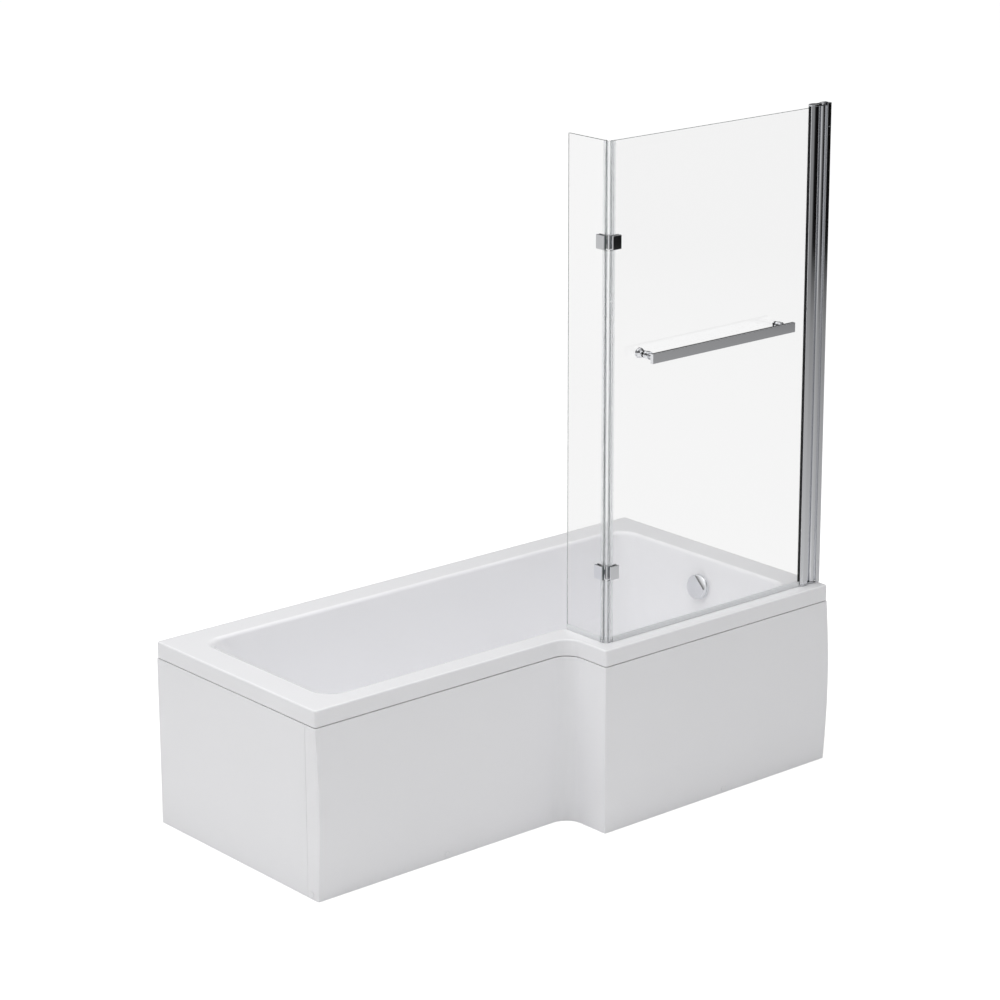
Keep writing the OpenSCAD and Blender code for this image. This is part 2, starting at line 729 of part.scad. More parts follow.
// Angle clips under the rim battens that hold the panels' upstands
clip_w = 30;
clip_t = 2;
clip_drop = 16;
module panel_clip(x, y, turn) {
    translate([x, y, batten_z - fit_gap]) rotate([0, 0, turn]) {
        translate([panel_in + fit_gap, -clip_w / 2, -clip_t]) cube([28, clip_w, clip_t]);
        translate([panel_in + fit_gap, -clip_w / 2, -clip_drop]) cube([clip_t, clip_w, clip_drop]);
    }
}
module panel_clips() {
    color(steel) placed() {
        for (f = [0.3, 0.7]) panel_clip(0, -narrow_w * f, 0);
        for (f = [0.25, 0.75]) panel_clip(step_x * f, -narrow_w, 90);
        for (f = [0.2, 0.5, 0.8]) panel_clip(step_x + (bath_l - step_x) * f, -wide_w, 90);
    }
}

// Waste and overflow

plug_gap = 0.6;
ledge_z = floor_z - 7;
module waste_flange() {
    r = plug_r + plug_gap;
    color(chrome) placed() translate([waste_x, waste_y, 0]) rotate_extrude() polygon([
        [r, floor_z + fit_gap + 3], [flange_r - 3, floor_z + fit_gap + 3], [flange_r, floor_z + fit_gap],
        [waste_hole_r - fit_gap, floor_z + fit_gap], [waste_hole_r - fit_gap, under_z - 10],
        [plug_r - 4.5, under_z - 10], [plug_r - 4.5, ledge_z], [r, ledge_z]]);
}

waste_body_r = 34;
module waste_washer() {
    color(rubber) placed() translate([waste_x, waste_y, under_z - fit_gap - 2]) difference() {
        cylinder(r = waste_body_r + 3, h = 2);
        translate([0, 0, -1]) cylinder(r = waste_hole_r + 1, h = 4);
    }
}

// The waste body takes the flange, the hose and the plug's stem, and ends in a tail for the trap
waste_top = under_z - 2 - 2 * fit_gap;
hose_z = waste_top - 27;
tail_z = hose_z - hose_r - 7;
tail_r = trap_r;
waste_bore_r = waste_hole_r + 0.5;
// A web above the hose guides the plug's stem, and water runs through its four holes
web_t = 6;
web_low = hose_z + hose_r - 1;
water_hole_r = (waste_bore_r - stem_r) / 2 - 3;
hose_socket_x = waste_body_r + 16;
hose_socket_l = 14;
module waste_body() {
    color(pipe_white) placed() translate([waste_x, waste_y, 0]) difference() {
        union() {
            rotate([0, 0, 90]) rotate_extrude() polygon([
                [tail_r - 3, tail_z - 8], [tail_r, tail_z - 8], [tail_r, tail_z], [waste_body_r, tail_z],
                [waste_body_r, waste_top - 4], [waste_body_r + 3, waste_top - 4],
                [waste_body_r + 3, waste_top], [waste_bore_r, waste_top], [waste_bore_r, web_low + web_t],
                [stem_r + run_gap, web_low + web_t], [stem_r + run_gap, web_low],
                [waste_bore_r, web_low], [waste_bore_r, tail_z + 5], [tail_r - 3, tail_z + 5]]);
            translate([waste_bore_r + 2, 0, hose_z]) rod_x(hose_r + 3, hose_socket_x - waste_bore_r - 2);
        }
        for (q = [45:90:315]) rotate([0, 0, q]) translate([(waste_bore_r + stem_r) / 2, 0, web_low - 1])
            cylinder(r = water_hole_r, h = web_t + 2);
        translate([waste_bore_r - 5, 0, hose_z]) rod_x(hose_r - 2.5, hose_socket_x);
        translate([hose_socket_x - hose_socket_l, 0, hose_z]) rod_x(hose_r + fit_gap, hose_socket_l + 1);
    }
}

module pop_up_plug() {
    color(chrome) placed() translate([waste_x, waste_y, 0]) rotate_extrude() polygon([
        [0, plug_top], [plug_r - 3, plug_top - 0.6], [plug_r, plug_top - 2.4], [plug_r, plug_under],
        [plug_neck_r, plug_under], [plug_neck_r, ledge_z - 1], [stem_r, ledge_z - 1],
        [stem_r, stem_end], [0, stem_end]]);
}
plug_top = floor_z + 6;
plug_under = ledge_z + 3;
plug_neck_r = plug_r - 6;
// The stem still fills its guide when the plug is up
plug_travel = 12;
stem_end = web_low - plug_travel - 4;

module plug_seal() {
    color(rubber) placed() translate([waste_x, waste_y, ledge_z + fit_gap])
        tube_z(plug_r - 0.4, plug_neck_r + fit_gap, plug_under - ledge_z - 2 * fit_gap);
}

// A bend of pipe that starts at the origin pointing along +X and turns up to +Z
module bend(bend_r, r_out, r_in, angle) {
    translate([0, 0, bend_r]) rotate([90, 0, 0]) rotate([0, 0, -90])
        rotate_extrude(angle = angle) translate([bend_r, 0]) difference() {
            circle(r = r_out);
            circle(r = r_in);
        }
}
module tube_z(r_out, r_in, l) {
    difference() {
        cylinder(r = r_out, h = l);
        translate([0, 0, -1]) cylinder(r = r_in, h = l + 2);
    }
}

// The trap hangs from the waste's tail, dips, rises and leaves towards the back wall
trap_bend_r = 24;
trap_wall = 3;
trap_top = tail_z - 8 - fit_gap;
trap_low = max(trap_bend_r + trap_r + 4, trap_top - 18);
outlet_z = trap_low + trap_bend_r;
trap_nut_r = trap_r + 6;
module trap_nut() {
    color(pipe_white) placed() translate([waste_x, waste_y, trap_top - 10]) difference() {
        cylinder(r = trap_nut_r, h = 16, $fn = 10);
        translate([0, 0, -1]) cylinder(r = trap_r + 0.2, h = 18);
    }
}
outlet_y1 = -(foot_in - 30);
outlet_y0 = outlet_y1 - outlet_l;
module trap_bend() {
    r_in = trap_r - trap_wall;
    y1 = waste_y + 2 * trap_bend_r;
    y2 = y1 + trap_bend_r;
    color(pipe_white) placed() {
        translate([waste_x, waste_y, trap_low]) tube_z(trap_r, r_in, trap_top - trap_low);
        translate([waste_x, waste_y + trap_bend_r, trap_low]) rotate([0, 90, 0]) rotate([0, 0, -90])
            rotate_extrude(angle = 180) translate([trap_bend_r, 0]) difference() {
                circle(r = trap_r);
                circle(r = r_in);
            }
        translate([waste_x, y2, trap_low]) rotate([0, 90, 0]) rotate([0, 0, 180])
            rotate_extrude(angle = 90) translate([0, 0]) translate([trap_bend_r, 0]) difference() {
                circle(r = trap_r);
                circle(r = r_in);
            }
        translate([waste_x, y2, outlet_z]) difference() {
            union() {
                rod_y(trap_r, outlet_y1 - y2);
                translate([0, outlet_y0 - 6 - y2, 0]) rod_y(outlet_r + 3, outlet_l + 6);
            }
            translate([0, -1, 0]) rod_y(r_in, outlet_y1 - y2 + 2);
            translate([0, outlet_y0 - y2, 0]) rod_y(outlet_r, outlet_l + 1);
        }
    }
}

overflow_plate_t = 7;
module overflow_plate() {
    color(chrome) placed() at_overflow() difference() {
        translate([0, 0, fit_gap]) cylinder(r = overflow_plate_r, h = overflow_plate_t);
        translate([0, 0, fit_gap - 1]) cylinder(r = overflow_plate_r - 4, h = overflow_plate_t - 2);
        translate([0, 0, -1]) cylinder(r = spindle_r + run_gap, h = overflow_plate_t + 3);
    }
}

overflow_back = -shell_t - fit_gap;
module overflow_washer() {
    color(rubber) placed() at_overflow() translate([0, 0, overflow_back - 3]) difference() {
        cylinder(r = 30, h = 3 - fit_gap);
        translate([0, 0, -1]) cylinder(r = overflow_hole_r + 1, h = 5);
    }
}

// The body behind the wall: a drum with a cross-bar for the spindle and a spout for the hose
drum_l = 26;
drum_back = overflow_back - 3 - fit_gap - drum_l;
module overflow_body() {
    color(pipe_white) placed() difference() {
        union() {
            at_overflow() translate([0, 0, drum_back]) cylinder(r = 30, h = drum_l);
            translate([hose_x, waste_y, overflow_z - spout_l]) cylinder(r = hose_r + 3, h = spout_l);
        }
        at_overflow() translate([0, 0, drum_back + 12]) cylinder(r = 25, h = drum_l);
        at_overflow() translate([0, 0, drum_back + 4]) cylinder(r = spindle_r + run_gap, h = drum_l);
        translate([hose_x, waste_y, overflow_z - spout_l - 1]) cylinder(r = hose_r - 3, h = spout_l - 8);
        translate([hose_x, waste_y, overflow_z - spout_l - 1])
            cylinder(r = hose_r + fit_gap, h = hose_socket_l + 1);
    }
}
hose_x = overflow_x + 3 * shell_t + drum_l / 2;
hose_bend_r = 60;
spout_l = 48;
hose_top = overflow_z - spout_l + hose_socket_l - fit_gap;
hose_end = waste_x + hose_socket_x - hose_socket_l + fit_gap;

// A run that drops from the overflow, bends and runs level to the waste
module drop_run(y, r_out, r_in, z_top, x_end) {
    translate([hose_x, y, hose_z + hose_bend_r]) tube_z(r_out, r_in, z_top - hose_z - hose_bend_r);
    translate([hose_x - hose_bend_r, y, hose_z]) bend(hose_bend_r, r_out, r_in, 90);
    translate([x_end, y, hose_z]) rotate([0, 90, 0])
        tube_z(r_out, r_in, hose_x - hose_bend_r - x_end);
}
module overflow_hose() {
    color(pipe_white) placed() drop_run(waste_y, hose_r, hose_r - 2, hose_top, hose_end);
}

// The sheathed cable that carries the knob's turn to the plug
cable_r = 2.5;
cable_off = 24;
cable_drop = 25.2;
module plug_cable() {
    color(nylon) placed()
        drop_run(waste_y + cable_off, cable_r, 0.8, overflow_z - cable_drop,
            waste_x + sqrt(pow(waste_body_r, 2) - pow(cable_off - cable_r, 2)) + fit_gap);
}

// The knob: a thick disc with a slanting finger cut across its face
knob_z = fit_gap + overflow_plate_t + 0.5;
cut_turn = -50;
cut_in = 12;
cut_lean = 22;
module overflow_knob() {
    color(chrome) placed() at_overflow() rotate([0, 0, 180 + cut_turn]) difference() {
        union() {
            translate([0, 0, knob_z]) cylinder(r = knob_r, h = knob_t);
            translate([0, 0, drum_back + 8]) cylinder(r = spindle_r, h = knob_z - drum_back - 7);
        }
        mirror([1, 0, 0]) translate([cut_in, -knob_r - 1, knob_z + knob_t])
            rotate([0, cut_lean, 0]) cube([2 * knob_r, 2 * knob_r + 2, knob_t]);
    }
}

// Screen: what is fixed to the wall

half_d = profile_d / 2;
channel_t = 2;
channel_x = post_x + post_r + 0.5;
hole_heights = [rim_h + wall_hole_end, (rim_h + profile_top) / 2, profile_top - wall_hole_end];
module wall_profile() {
    z = rim_h + fit_gap;
    color(chrome) placed() difference() {
        bar(channel_x, bath_l, post_y - half_d, post_y + half_d, z, profile_top - z);
        bar(channel_x - 1, bath_l - channel_t, post_y - half_d + channel_t, post_y + half_d - channel_t,
            z - 1, profile_top - z + 2);
        for (h = hole_heights)
            translate([bath_l - channel_t - 1, post_y, h]) rod_x(wall_hole_r, channel_t + 2);
    }
}

post_bore_r = post_r - 3.5;
tongue_y = half_d - channel_t - fit_gap;
post_z = rim_h + 6.3;
module pivot_post() {
    l = profile_top - 2 - post_z;
    x1 = bath_l - channel_t - 2;
    color(chrome) placed() difference() {
        union() {
            translate([post_x, post_y, post_z]) cylinder(r = post_r, h = l);
            bar(post_x + post_r - 1, x1, post_y - tongue_y, post_y + tongue_y, post_z, l);
        }
        bar(post_x + post_r + 2, x1 + 1, post_y - tongue_y + channel_t, post_y + tongue_y - channel_t,
            post_z - 1, l + 2);
        translate([post_x, post_y, post_z - 1]) cylinder(r = post_bore_r, h = l + 2);
        for (h = lock_heights) translate([lock_x, post_y - half_d, h]) rod_y(lock_r + run_gap, half_d);
    }
}
lock_r = 1.5;
lock_x = bath_l - channel_t - 5;
lock_heights = [rim_h + 60, profile_top - 60];

// Small screws that lock the post's tongue from inside the channel
module post_screws() {
    color(steel) placed() for (h = lock_heights)
        translate([lock_x, post_y - tongue_y - 0.2, h]) rod_y(lock_r, 5);
}

bush_l = 22;
module post_bush(z, flange_z) {
    difference() {
        union() {
            translate([post_x, post_y, z]) cylinder(r = post_bore_r - run_gap, h = bush_l);
            translate([post_x, post_y, flange_z]) cylinder(r = post_r - 1, h = 1.4);
        }
        translate([post_x, post_y, z - 2]) cylinder(r = pivot_pin_r + run_gap, h = bush_l + 4);
    }
}
pivot_pin_r = 4;
module post_bushes() {
    color(nylon) placed() {
        post_bush(profile_top - 2 - bush_l + 0.1, profile_top - 2 + 0.1);
        post_bush(post_z - 0.1, post_z - 1.5);
    }
}

// Screen: what swings

// Outline of the glass profile, with its bevels towards the front, the back and the post
module profile_outline(grow) {
    translate([0, post_y]) difference() {
        polygon([[profile_x0, -half_d + 4], [profile_x0 + 9, -half_d], [profile_x1 - 10.5, -half_d],
            [profile_x1, -half_d + 6], [profile_x1, half_d - 6], [profile_x1 - 10.5, half_d],
            [profile_x0 + 9, half_d], [profile_x0, half_d - 4]]);
        if (grow == 0) {
            translate([profile_x0 - 1, -slot_half]) square([glass_bite + 2 + gasket_t, 2 * slot_half]);
            translate([profile_x1 - 11, -6]) square([8, 12]);
        }
    }
}
gasket_t = 1;
slot_half = glass_t / 2 + gasket_t + 0.1;
profile_z = rim_h + 5;

module glass_profile() {
    color(chrome) placed() translate([0, 0, profile_z])
        linear_extrude(profile_top - profile_z) profile_outline(0);
}

// A cap closes the glass profile and carries a pivot pin over the post
module profile_cap(z, pin_z, pin_l) {
    translate([0, 0, z]) linear_extrude(cap_t) profile_outline(1);
    translate([profile_x1 - 5, post_y - 6, z]) cube([post_x - profile_x1 + 5, 12, cap_t]);
    translate([post_x, post_y, z]) cylinder(r = post_r, h = cap_t);
    translate([post_x, post_y, pin_z]) cylinder(r = pivot_pin_r, h = pin_l);
}
module profile_top_cap() {
    z = profile_top + fit_gap;
    color(chrome) placed() union() {
        profile_cap(z, z - 18, 19);
        translate([post_x, post_y, z + cap_t - 1]) cylinder(r = post_r - 4, h = boss_h + 1);
    }
}
module profile_bottom_cap() {
    z = profile_z - fit_gap - cap_t;
    color(chrome) placed() profile_cap(z, z + 1, 18);
}

module glass_gasket() {
    h = glass_t / 2 + run_gap;
    color(rubber) placed() translate([0, 0, glass_z]) difference() {
        bar(profile_x0 + 1, glass_x1 + fit_gap + gasket_t, main_y - h - gasket_t, main_y + h + gasket_t,
            0, glass_h);
        bar(profile_x0, glass_x1 + fit_gap, main_y - h, main_y + h, -1, glass_h + 2);
    }
}

hinge_heights = [rim_h + lower_hinge_h, rim_h + upper_hinge_h];
clamp_in = leaf_w * 0.55;
clamp_hole_r = 7;
rail_z = rim_h + rail_h;
rail_xs = [return_x + rail_x, return_x + rail_x + rail_posts_l];
rail_hole_r = 6;

module main_glass() {
    color(clear_glass) placed() difference() {
        bar(glass_x0, glass_x1, main_y - glass_t / 2, main_y + glass_t / 2, glass_z, glass_h);
        for (h = hinge_heights)
            translate([leaf_x0 + clamp_in, main_y - glass_t, h]) rod_y(clamp_hole_r, 2 * glass_t);
        for (x = rail_xs) translate([x, main_y - glass_t, rail_z]) rod_y(rail_hole_r, 2 * glass_t);
    }
}

module return_glass() {
    color(clear_glass) placed() difference() {
        bar(return_x - glass_t / 2, return_x + glass_t / 2, return_y0, return_y1, glass_z, glass_h);
        for (h = hinge_heights)
            translate([return_x - glass_t, leaf_y0 + clamp_in, h]) rod_x(clamp_hole_r, 2 * glass_t);
    }
}

// Section of a bottom seal across a pane: a channel on the glass and a foot towards the rim
seal_half = glass_t / 2 + run_gap + seal_t;
module seal_section() {
    difference() {
        translate([-seal_half, 0]) square([2 * seal_half, seal_h]);
        translate([-glass_t / 2 - run_gap, glass_z - seal_z - 0.1])
            square([glass_t + 2 * run_gap, seal_h]);
    }
}
module main_bottom_seal() {
    x0 = pin_x + corner_seal_l + 2;
    color(clear_pvc) placed() translate([x0, main_y, seal_z]) rotate([90, 0, 90])
        linear_extrude(profile_x0 - 1 - x0) seal_section();
}
module return_bottom_seal() {
    y0 = pin_y + corner_seal_l + 2;
    color(clear_pvc) placed() translate([return_x, return_y1, seal_z]) rotate([90, 0, 0])
        linear_extrude(return_y1 - y0) seal_section();
}

// Upright seals run between the hinges, from the rim to the glass's top
corner_seal_l = 10;
seal_spans = [[seal_z, hinge_heights[0] - leaf_h / 2 - 1],
    [hinge_heights[0] + leaf_h / 2 + 1, hinge_heights[1] - leaf_h / 2 - 1],
    [hinge_heights[1] + leaf_h / 2 + 1, glass_top]];

// Part of a disc about the hinge pin between two angles
module sector(r, q0, q1) {
    intersection() {
        circle(r = r);
        polygon([[0, 0], 2 * r * [cos(q0), sin(q0)], 2 * r * [cos((q0 + q1) / 2), sin((q0 + q1) / 2)],
            2 * r * [cos(q1), sin(q1)]]);
    }
}
lip_r = hinge_in + seal_half;
module corner_lip() {
    translate([pin_x, pin_y]) difference() {
        sector(lip_r, 192, 268);
        circle(r = lip_r - seal_t);
    }
}
module main_corner_seal() {
    color(clear_pvc) placed() {
        for (s = seal_spans) translate([0, 0, s[0]]) linear_extrude(s[1] - s[0]) {
            difference() {
                translate([pin_x - 2.5, main_y - seal_half])
                    square([corner_seal_l + 2.5, 2 * seal_half]);
                translate([glass_x0 - 0.1, main_y - glass_t / 2 - run_gap])
                    square([corner_seal_l, glass_t + 2 * run_gap]);
            }
            corner_lip();
        }
    }
}
module return_corner_seal() {
    color(clear_pvc) placed() for (s = seal_spans) translate([0, 0, s[0]]) linear_extrude(s[1] - s[0])
        difference() {
            translate([return_x - seal_half, pin_y - 0.5]) square([2 * seal_half, corner_seal_l + 0.5]);
            translate([return_x - glass_t / 2 - run_gap, return_y0 - 0.1])
                square([glass_t + 2 * run_gap, corner_seal_l]);
        }
}

// Hinges: each leaf clamps its pane between an outer and an inner plate
pad_t = 1;
inner_t = hinge_in - 1 - glass_t / 2 - pad_t;
leaf_x0 = pin_x - 2;
leaf_y0 = pin_y + 1;
barrel_r = 2 * pin_r;
knuckle = leaf_h / 3;
screw_r = 3;
screw_head_r = 5;
screw_head_h = 1.8;

// One leaf lying along +X, its pane's middle on Y = 0 and the inside towards +Y
module leaf_plates(x0, mid_knuckle) {
    out_y = glass_t / 2 + pad_t;
    difference() {
        union() {
            translate([x0, -out_y - leaf_t, -leaf_h / 2]) cube([leaf_w, leaf_t, leaf_h]);
            difference() {
                translate([x0, out_y, -leaf_h / 2]) cube([leaf_w, inner_t, leaf_h]);
                translate([0, hinge_in, 0]) knuckles(barrel_r + 0.4, !mid_knuckle, 0.35);
            }
            translate([0, hinge_in, 0]) knuckles(barrel_r, mid_knuckle, 0);
        }
        translate([0, hinge_in, -leaf_h]) cylinder(r = pin_r + run_gap, h = 2 * leaf_h);
        translate([x0 + clamp_in, -out_y - leaf_t + 1, 0]) rod_y(screw_r + run_gap, 2 * out_y + leaf_t + inner_t);
        translate([x0 + clamp_in, out_y + inner_t - screw_head_h - 0.2, 0]) rod_y(screw_head_r + 0.2, 5);
    }
}

// The middle knuckle, or the two outer ones, grown endways by g
module knuckles(r, mid, g) {
    k = knuckle / 2;
    if (mid) translate([0, 0, -k + 0.3 - g]) cylinder(r = r, h = 2 * (k - 0.3 + g));
    else for (s = [-1, 1]) translate([0, 0, s * (k + leaf_h / 2) / 2])
        cylinder(r = r, h = leaf_h / 2 - k + 2 * g, center = true);
}

// Puts a leaf of the main pane, or of the return pane, at a hinge's height
module on_main(h) { translate([pin_x, main_y, h]) children(); }
module on_return(h) { translate([return_x, pin_y, h]) mirror([1, -1, 0]) children(); }

module main_hinge_leaves() {
    color(chrome) placed() for (h = hinge_heights) on_main(h) leaf_plates(leaf_x0 - pin_x, false);
}
module return_hinge_leaves() {
    color(chrome) placed() for (h = hinge_heights) on_return(h) leaf_plates(leaf_y0 - pin_y, true);
}

module leaf_pads(x0, glass0) {
    for (s = [-1, 1]) difference() {
        translate([glass0, s * (glass_t / 2 + pad_t / 2) - (pad_t - 0.2) / 2, 1 - leaf_h / 2])
            cube([x0 + leaf_w - 1 - glass0, pad_t - 0.2, leaf_h - 2]);
        translate([x0 + clamp_in, -glass_t, 0]) rod_y(screw_r + 1, 2 * glass_t);
    }
}
module main_hinge_gaskets() {
    color(rubber) placed() for (h = hinge_heights) on_main(h) leaf_pads(leaf_x0 - pin_x, glass_x0 - pin_x + 1);
}
module return_hinge_gaskets() {
    color(rubber) placed() for (h = hinge_heights) on_return(h) leaf_pads(leaf_y0 - pin_y, return_y0 - pin_y + 1);
}

module leaf_screw(x0) {
    top = glass_t / 2 + pad_t + inner_t;
    translate([x0 + clamp_in, top - screw_head_h - 0.1, 0]) rod_y(screw_head_r, screw_head_h);
    translate([x0 + clamp_in, -glass_t / 2 - pad_t - leaf_t + 1.5, 0])
        rod_y(screw_r, top + glass_t / 2 + pad_t + leaf_t - 2);
}
module main_hinge_screws() {
    color(steel) placed() for (h = hinge_heights) on_main(h) leaf_screw(leaf_x0 - pin_x);
}
module return_hinge_screws() {
    color(steel) placed() for (h = hinge_heights) on_return(h) leaf_screw(leaf_y0 - pin_y);
}

module hinge_pins() {
    color(steel) placed() for (h = hinge_heights)
        translate([pin_x, pin_y, h - leaf_h / 2 - 0.5]) cylinder(r = pin_r, h = leaf_h + 1);
}

// Towel rail

rail_face = main_y - glass_t / 2;
bar_back = rail_face - rail_gap;
washer_t = 1;
module towel_bar() {
    x = (rail_xs[0] + rail_xs[1] - rail_l) / 2;
    color(chrome) placed() translate([x, bar_back - bar_t, rail_z - bar_h / 2]) difference() {
        cube([rail_l, bar_t, bar_h]);
        translate([2, 2, 2]) cube([rail_l - 4, bar_t - 4, bar_h - 4]);
    }
}
module rail_posts() {
    l = rail_gap - washer_t - 2 * fit_gap;
    color(chrome) placed() for (x = rail_xs)
        translate([x, bar_back + fit_gap, rail_z]) difference() {
            union() {
                rod_y(6.5, l);
                rod_y(8.5, 7);
                translate([0, l - 19, 0]) rod_y(11, 12);
                translate([0, l - 5, 0]) rod_y(10, 5);
            }
            translate([0, l - 15, 0]) rod_y(rail_stud_r + run_gap, 16);
        }
}
rail_stud_r = 4;
module rail_washers() {
    color(rubber) placed() for (x = rail_xs, s = [-1, 1])
        translate([x, main_y + s * (glass_t / 2 + washer_t / 2) - 0.4, rail_z]) difference() {
            rod_y(9.5, 0.8);
            translate([0, -1, 0]) rod_y(rail_stud_r + 1, 3);
        }
}

// Inside, the first post ends in a pull knob and the second in a flat disc, each with its stud
module rail_knob(x, r, l) {
    translate([x, main_y + glass_t / 2 + washer_t, rail_z]) {
        rod_y(r, l);
        translate([0, -glass_t - 2 * washer_t - 10, 0]) rod_y(rail_stud_r, glass_t + 2 * washer_t + 11);
    }
}
rail_disc_l = 4;
module rail_knobs() {
    color(chrome) placed() {
        rail_knob(rail_xs[0], rail_knob_r, rail_knob_l);
        rail_knob(rail_xs[1], rail_knob_r - 5, rail_disc_l);
    }
}

bath_shell();
fibre_mats();
base_board();
rim_battens();
front_panel();
end_panel();
floor_battens();
panel_clips();
panel_screws();
panel_screw_caps();
head_cradle();
tap_cradle();
centre_bracket();
cradle_screws();
leg_nuts();
wall_hooks();
waste_flange();
waste_washer();
waste_body();
trap_nut();
trap_bend();
overflow_plate();
overflow_washer();
overflow_body();
overflow_hose();
plug_cable();
wall_profile();
pivot_post();
post_screws();
post_bushes();
overflow_knob();
pop_up_plug();
plug_seal();
glass_profile();
profile_top_cap();
profile_bottom_cap();
glass_gasket();
main_glass();
main_bottom_seal();
main_corner_seal();
main_hinge_leaves();
main_hinge_gaskets();
main_hinge_screws();
hinge_pins();
towel_bar();
rail_posts();
rail_knobs();
rail_washers();
return_glass();
return_bottom_seal();
return_corner_seal();
return_hinge_leaves();
return_hinge_gaskets();
return_hinge_screws();
head_back_foot();
head_front_foot();
tap_back_foot();
tap_front_foot();
centre_foot();
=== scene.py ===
"""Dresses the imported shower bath: its shaped surfaces, finishes, studio and camera.

Plan sizes follow the part's own corner frame, in millimetres: X runs along the wall from the head end, Y is
0 at the back wall and falls towards the front, and Z is up. in_place() moves points to the model's frame.
"""

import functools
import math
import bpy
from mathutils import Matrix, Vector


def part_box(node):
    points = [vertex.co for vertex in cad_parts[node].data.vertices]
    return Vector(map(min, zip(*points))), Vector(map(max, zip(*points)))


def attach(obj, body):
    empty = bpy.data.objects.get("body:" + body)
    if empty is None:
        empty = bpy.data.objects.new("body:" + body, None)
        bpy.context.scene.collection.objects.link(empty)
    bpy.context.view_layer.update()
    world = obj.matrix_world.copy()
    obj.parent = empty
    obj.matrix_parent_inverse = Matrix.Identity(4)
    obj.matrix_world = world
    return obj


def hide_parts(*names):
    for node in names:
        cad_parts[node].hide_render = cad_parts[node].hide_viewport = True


bl_info = {
    "name": "Shower Bath Dressing",
    "version": (1, 0, 0),
    "blender": (4, 5, 0),
    "location": "3D View > Sidebar > Shower bath",
    "description": "Shapes and finishes for an L-shaped shower bath with a hinged screen",
    "category": "Object",
}

import bmesh
import bpy
import numpy as np
from bpy.props import FloatProperty, FloatVectorProperty, PointerProperty

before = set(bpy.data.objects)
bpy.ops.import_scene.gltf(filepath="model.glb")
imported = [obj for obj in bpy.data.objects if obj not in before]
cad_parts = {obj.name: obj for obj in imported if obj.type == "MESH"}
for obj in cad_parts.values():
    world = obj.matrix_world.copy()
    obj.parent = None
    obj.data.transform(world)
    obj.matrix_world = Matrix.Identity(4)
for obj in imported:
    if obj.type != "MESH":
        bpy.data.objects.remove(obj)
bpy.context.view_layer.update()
SHELL_BOX = [np.array(corner) * 1000 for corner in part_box("bath_shell")]
CORNER = np.array([SHELL_BOX[0][0], SHELL_BOX[1][1], 0.0])


def length(label, millimetres, words):
    """A length property whose default is given in millimetres."""
    return FloatProperty(
        name=label, description=words, default=millimetres / 1000, min=0, unit="LENGTH", precision=4
    )


def linear(code):
    """Turns an sRGB hex colour into linear red, green, blue and alpha."""
    parts = np.array([int(code[i : i + 2], 16) for i in (1, 3, 5)]) / 255
    parts = np.where(parts <= 0.04045, parts / 12.92, ((parts + 0.055) / 1.055) ** 2.4)
    return (*parts.tolist(), 1.0)


def colour(label, code, words):
    """A colour property whose default is given as sRGB hex."""
    return FloatVectorProperty(
        name=label, description=words, default=linear(code), size=4, min=0, max=1, subtype="COLOR"
    )


def number(label, value, words, unit="NONE"):
    """A plain property of the camera."""
    return FloatProperty(name=label, description=words, default=value, unit=unit)


class ShowerBathSizes(bpy.types.PropertyGroup):
    """Sizes of the bath and its panels."""

    length: length("Length", 1700, "Length along the back wall")
    narrow_width: length("Narrow width", 700, "Width over the rim at the head end")
    wide_width: length("Wide width", 850, "Width over the rim at the shower end")
    rim_height: length("Rim height", 524, "Height of the rim's top above the floor")
    step_place: length("Step place", 856, "Distance from the head end to the step")
    step_radius: length("Step radius", 52, "Radius of the inner corner at the step")
    lip_height: length("Lip height", 46, "Height of the rim's down-turned lip")
    corner_radius: length("Corner radius", 8, "Radius of the rim's outer corners in plan")
    edge_radius: length("Edge radius", 5, "Radius along the rim's top edge")
    skin: length("Skin", 2.7, "Thickness of the acrylic")
    backed: length("Backed skin", 5, "Thickness of the acrylic with its glass-fibre backing")
    rim_back: length("Back rim", 88, "Width of the rim along the back wall")
    rim_head: length("Head rim", 90, "Width of the rim at the head end")
    rim_front: length("Front rim", 68, "Width of the rim along the front")
    rim_tap: length("Tap rim", 90, "Width of the rim at the tap end")
    floor_z: length("Floor height", 124, "Height of the basin's floor above the ground")
    head_run: length("Back rest run", 220, "How far the back rest slopes in")
    side_run: length("Wall run", 45, "How far the other walls lean in")
    floor_radius: length("Floor radius", 70, "Radius where the walls meet the floor")
    mouth_radius: length("Mouth radius", 10, "Radius where the rim turns down into the basin")
    basin_radius: length("Basin radius", 65, "Corner radius of the basin at the rim")
    basin_floor_radius: length("Basin floor radius", 95, "Corner radius of the basin at the floor")
    panel: length("Panel thickness", 3, "Thickness of the panels")
    bow: length("Panel bow", 12, "How far the front panel bows out at its middle")
    panel_joint: length("Panel joint", 2.5, "Shadow gap between the lip and the panels")
    upstand_in: length("Upstand set-back", 8, "How far the upstand stands back from the panel's face")
    upstand: length("Upstand height", 20, "Height of the upstand behind the lip")
    wrap: length("Panel wrap", 43, "Width of the front panel's wrap at the head end")
    panel_return: length("Panel return", 25, "Width of the front panel's return at the tap end")
    screw_height: length("Panel screw height", 14, "Height of the panel screws above the floor")
    screw_cap: length("Screw cap radius", 8, "Radius of the panel screw caps")
    front_screw: length("Front screw place", 427, "Distance of the narrow front's screw from the head end")
    step_screw: length("Wide screw place", 1300, "Distance of the wide front's screw from the head end")
    wrap_screw: length("Wrap screw place", 27, "Distance of the wrap's screw from the narrow front")


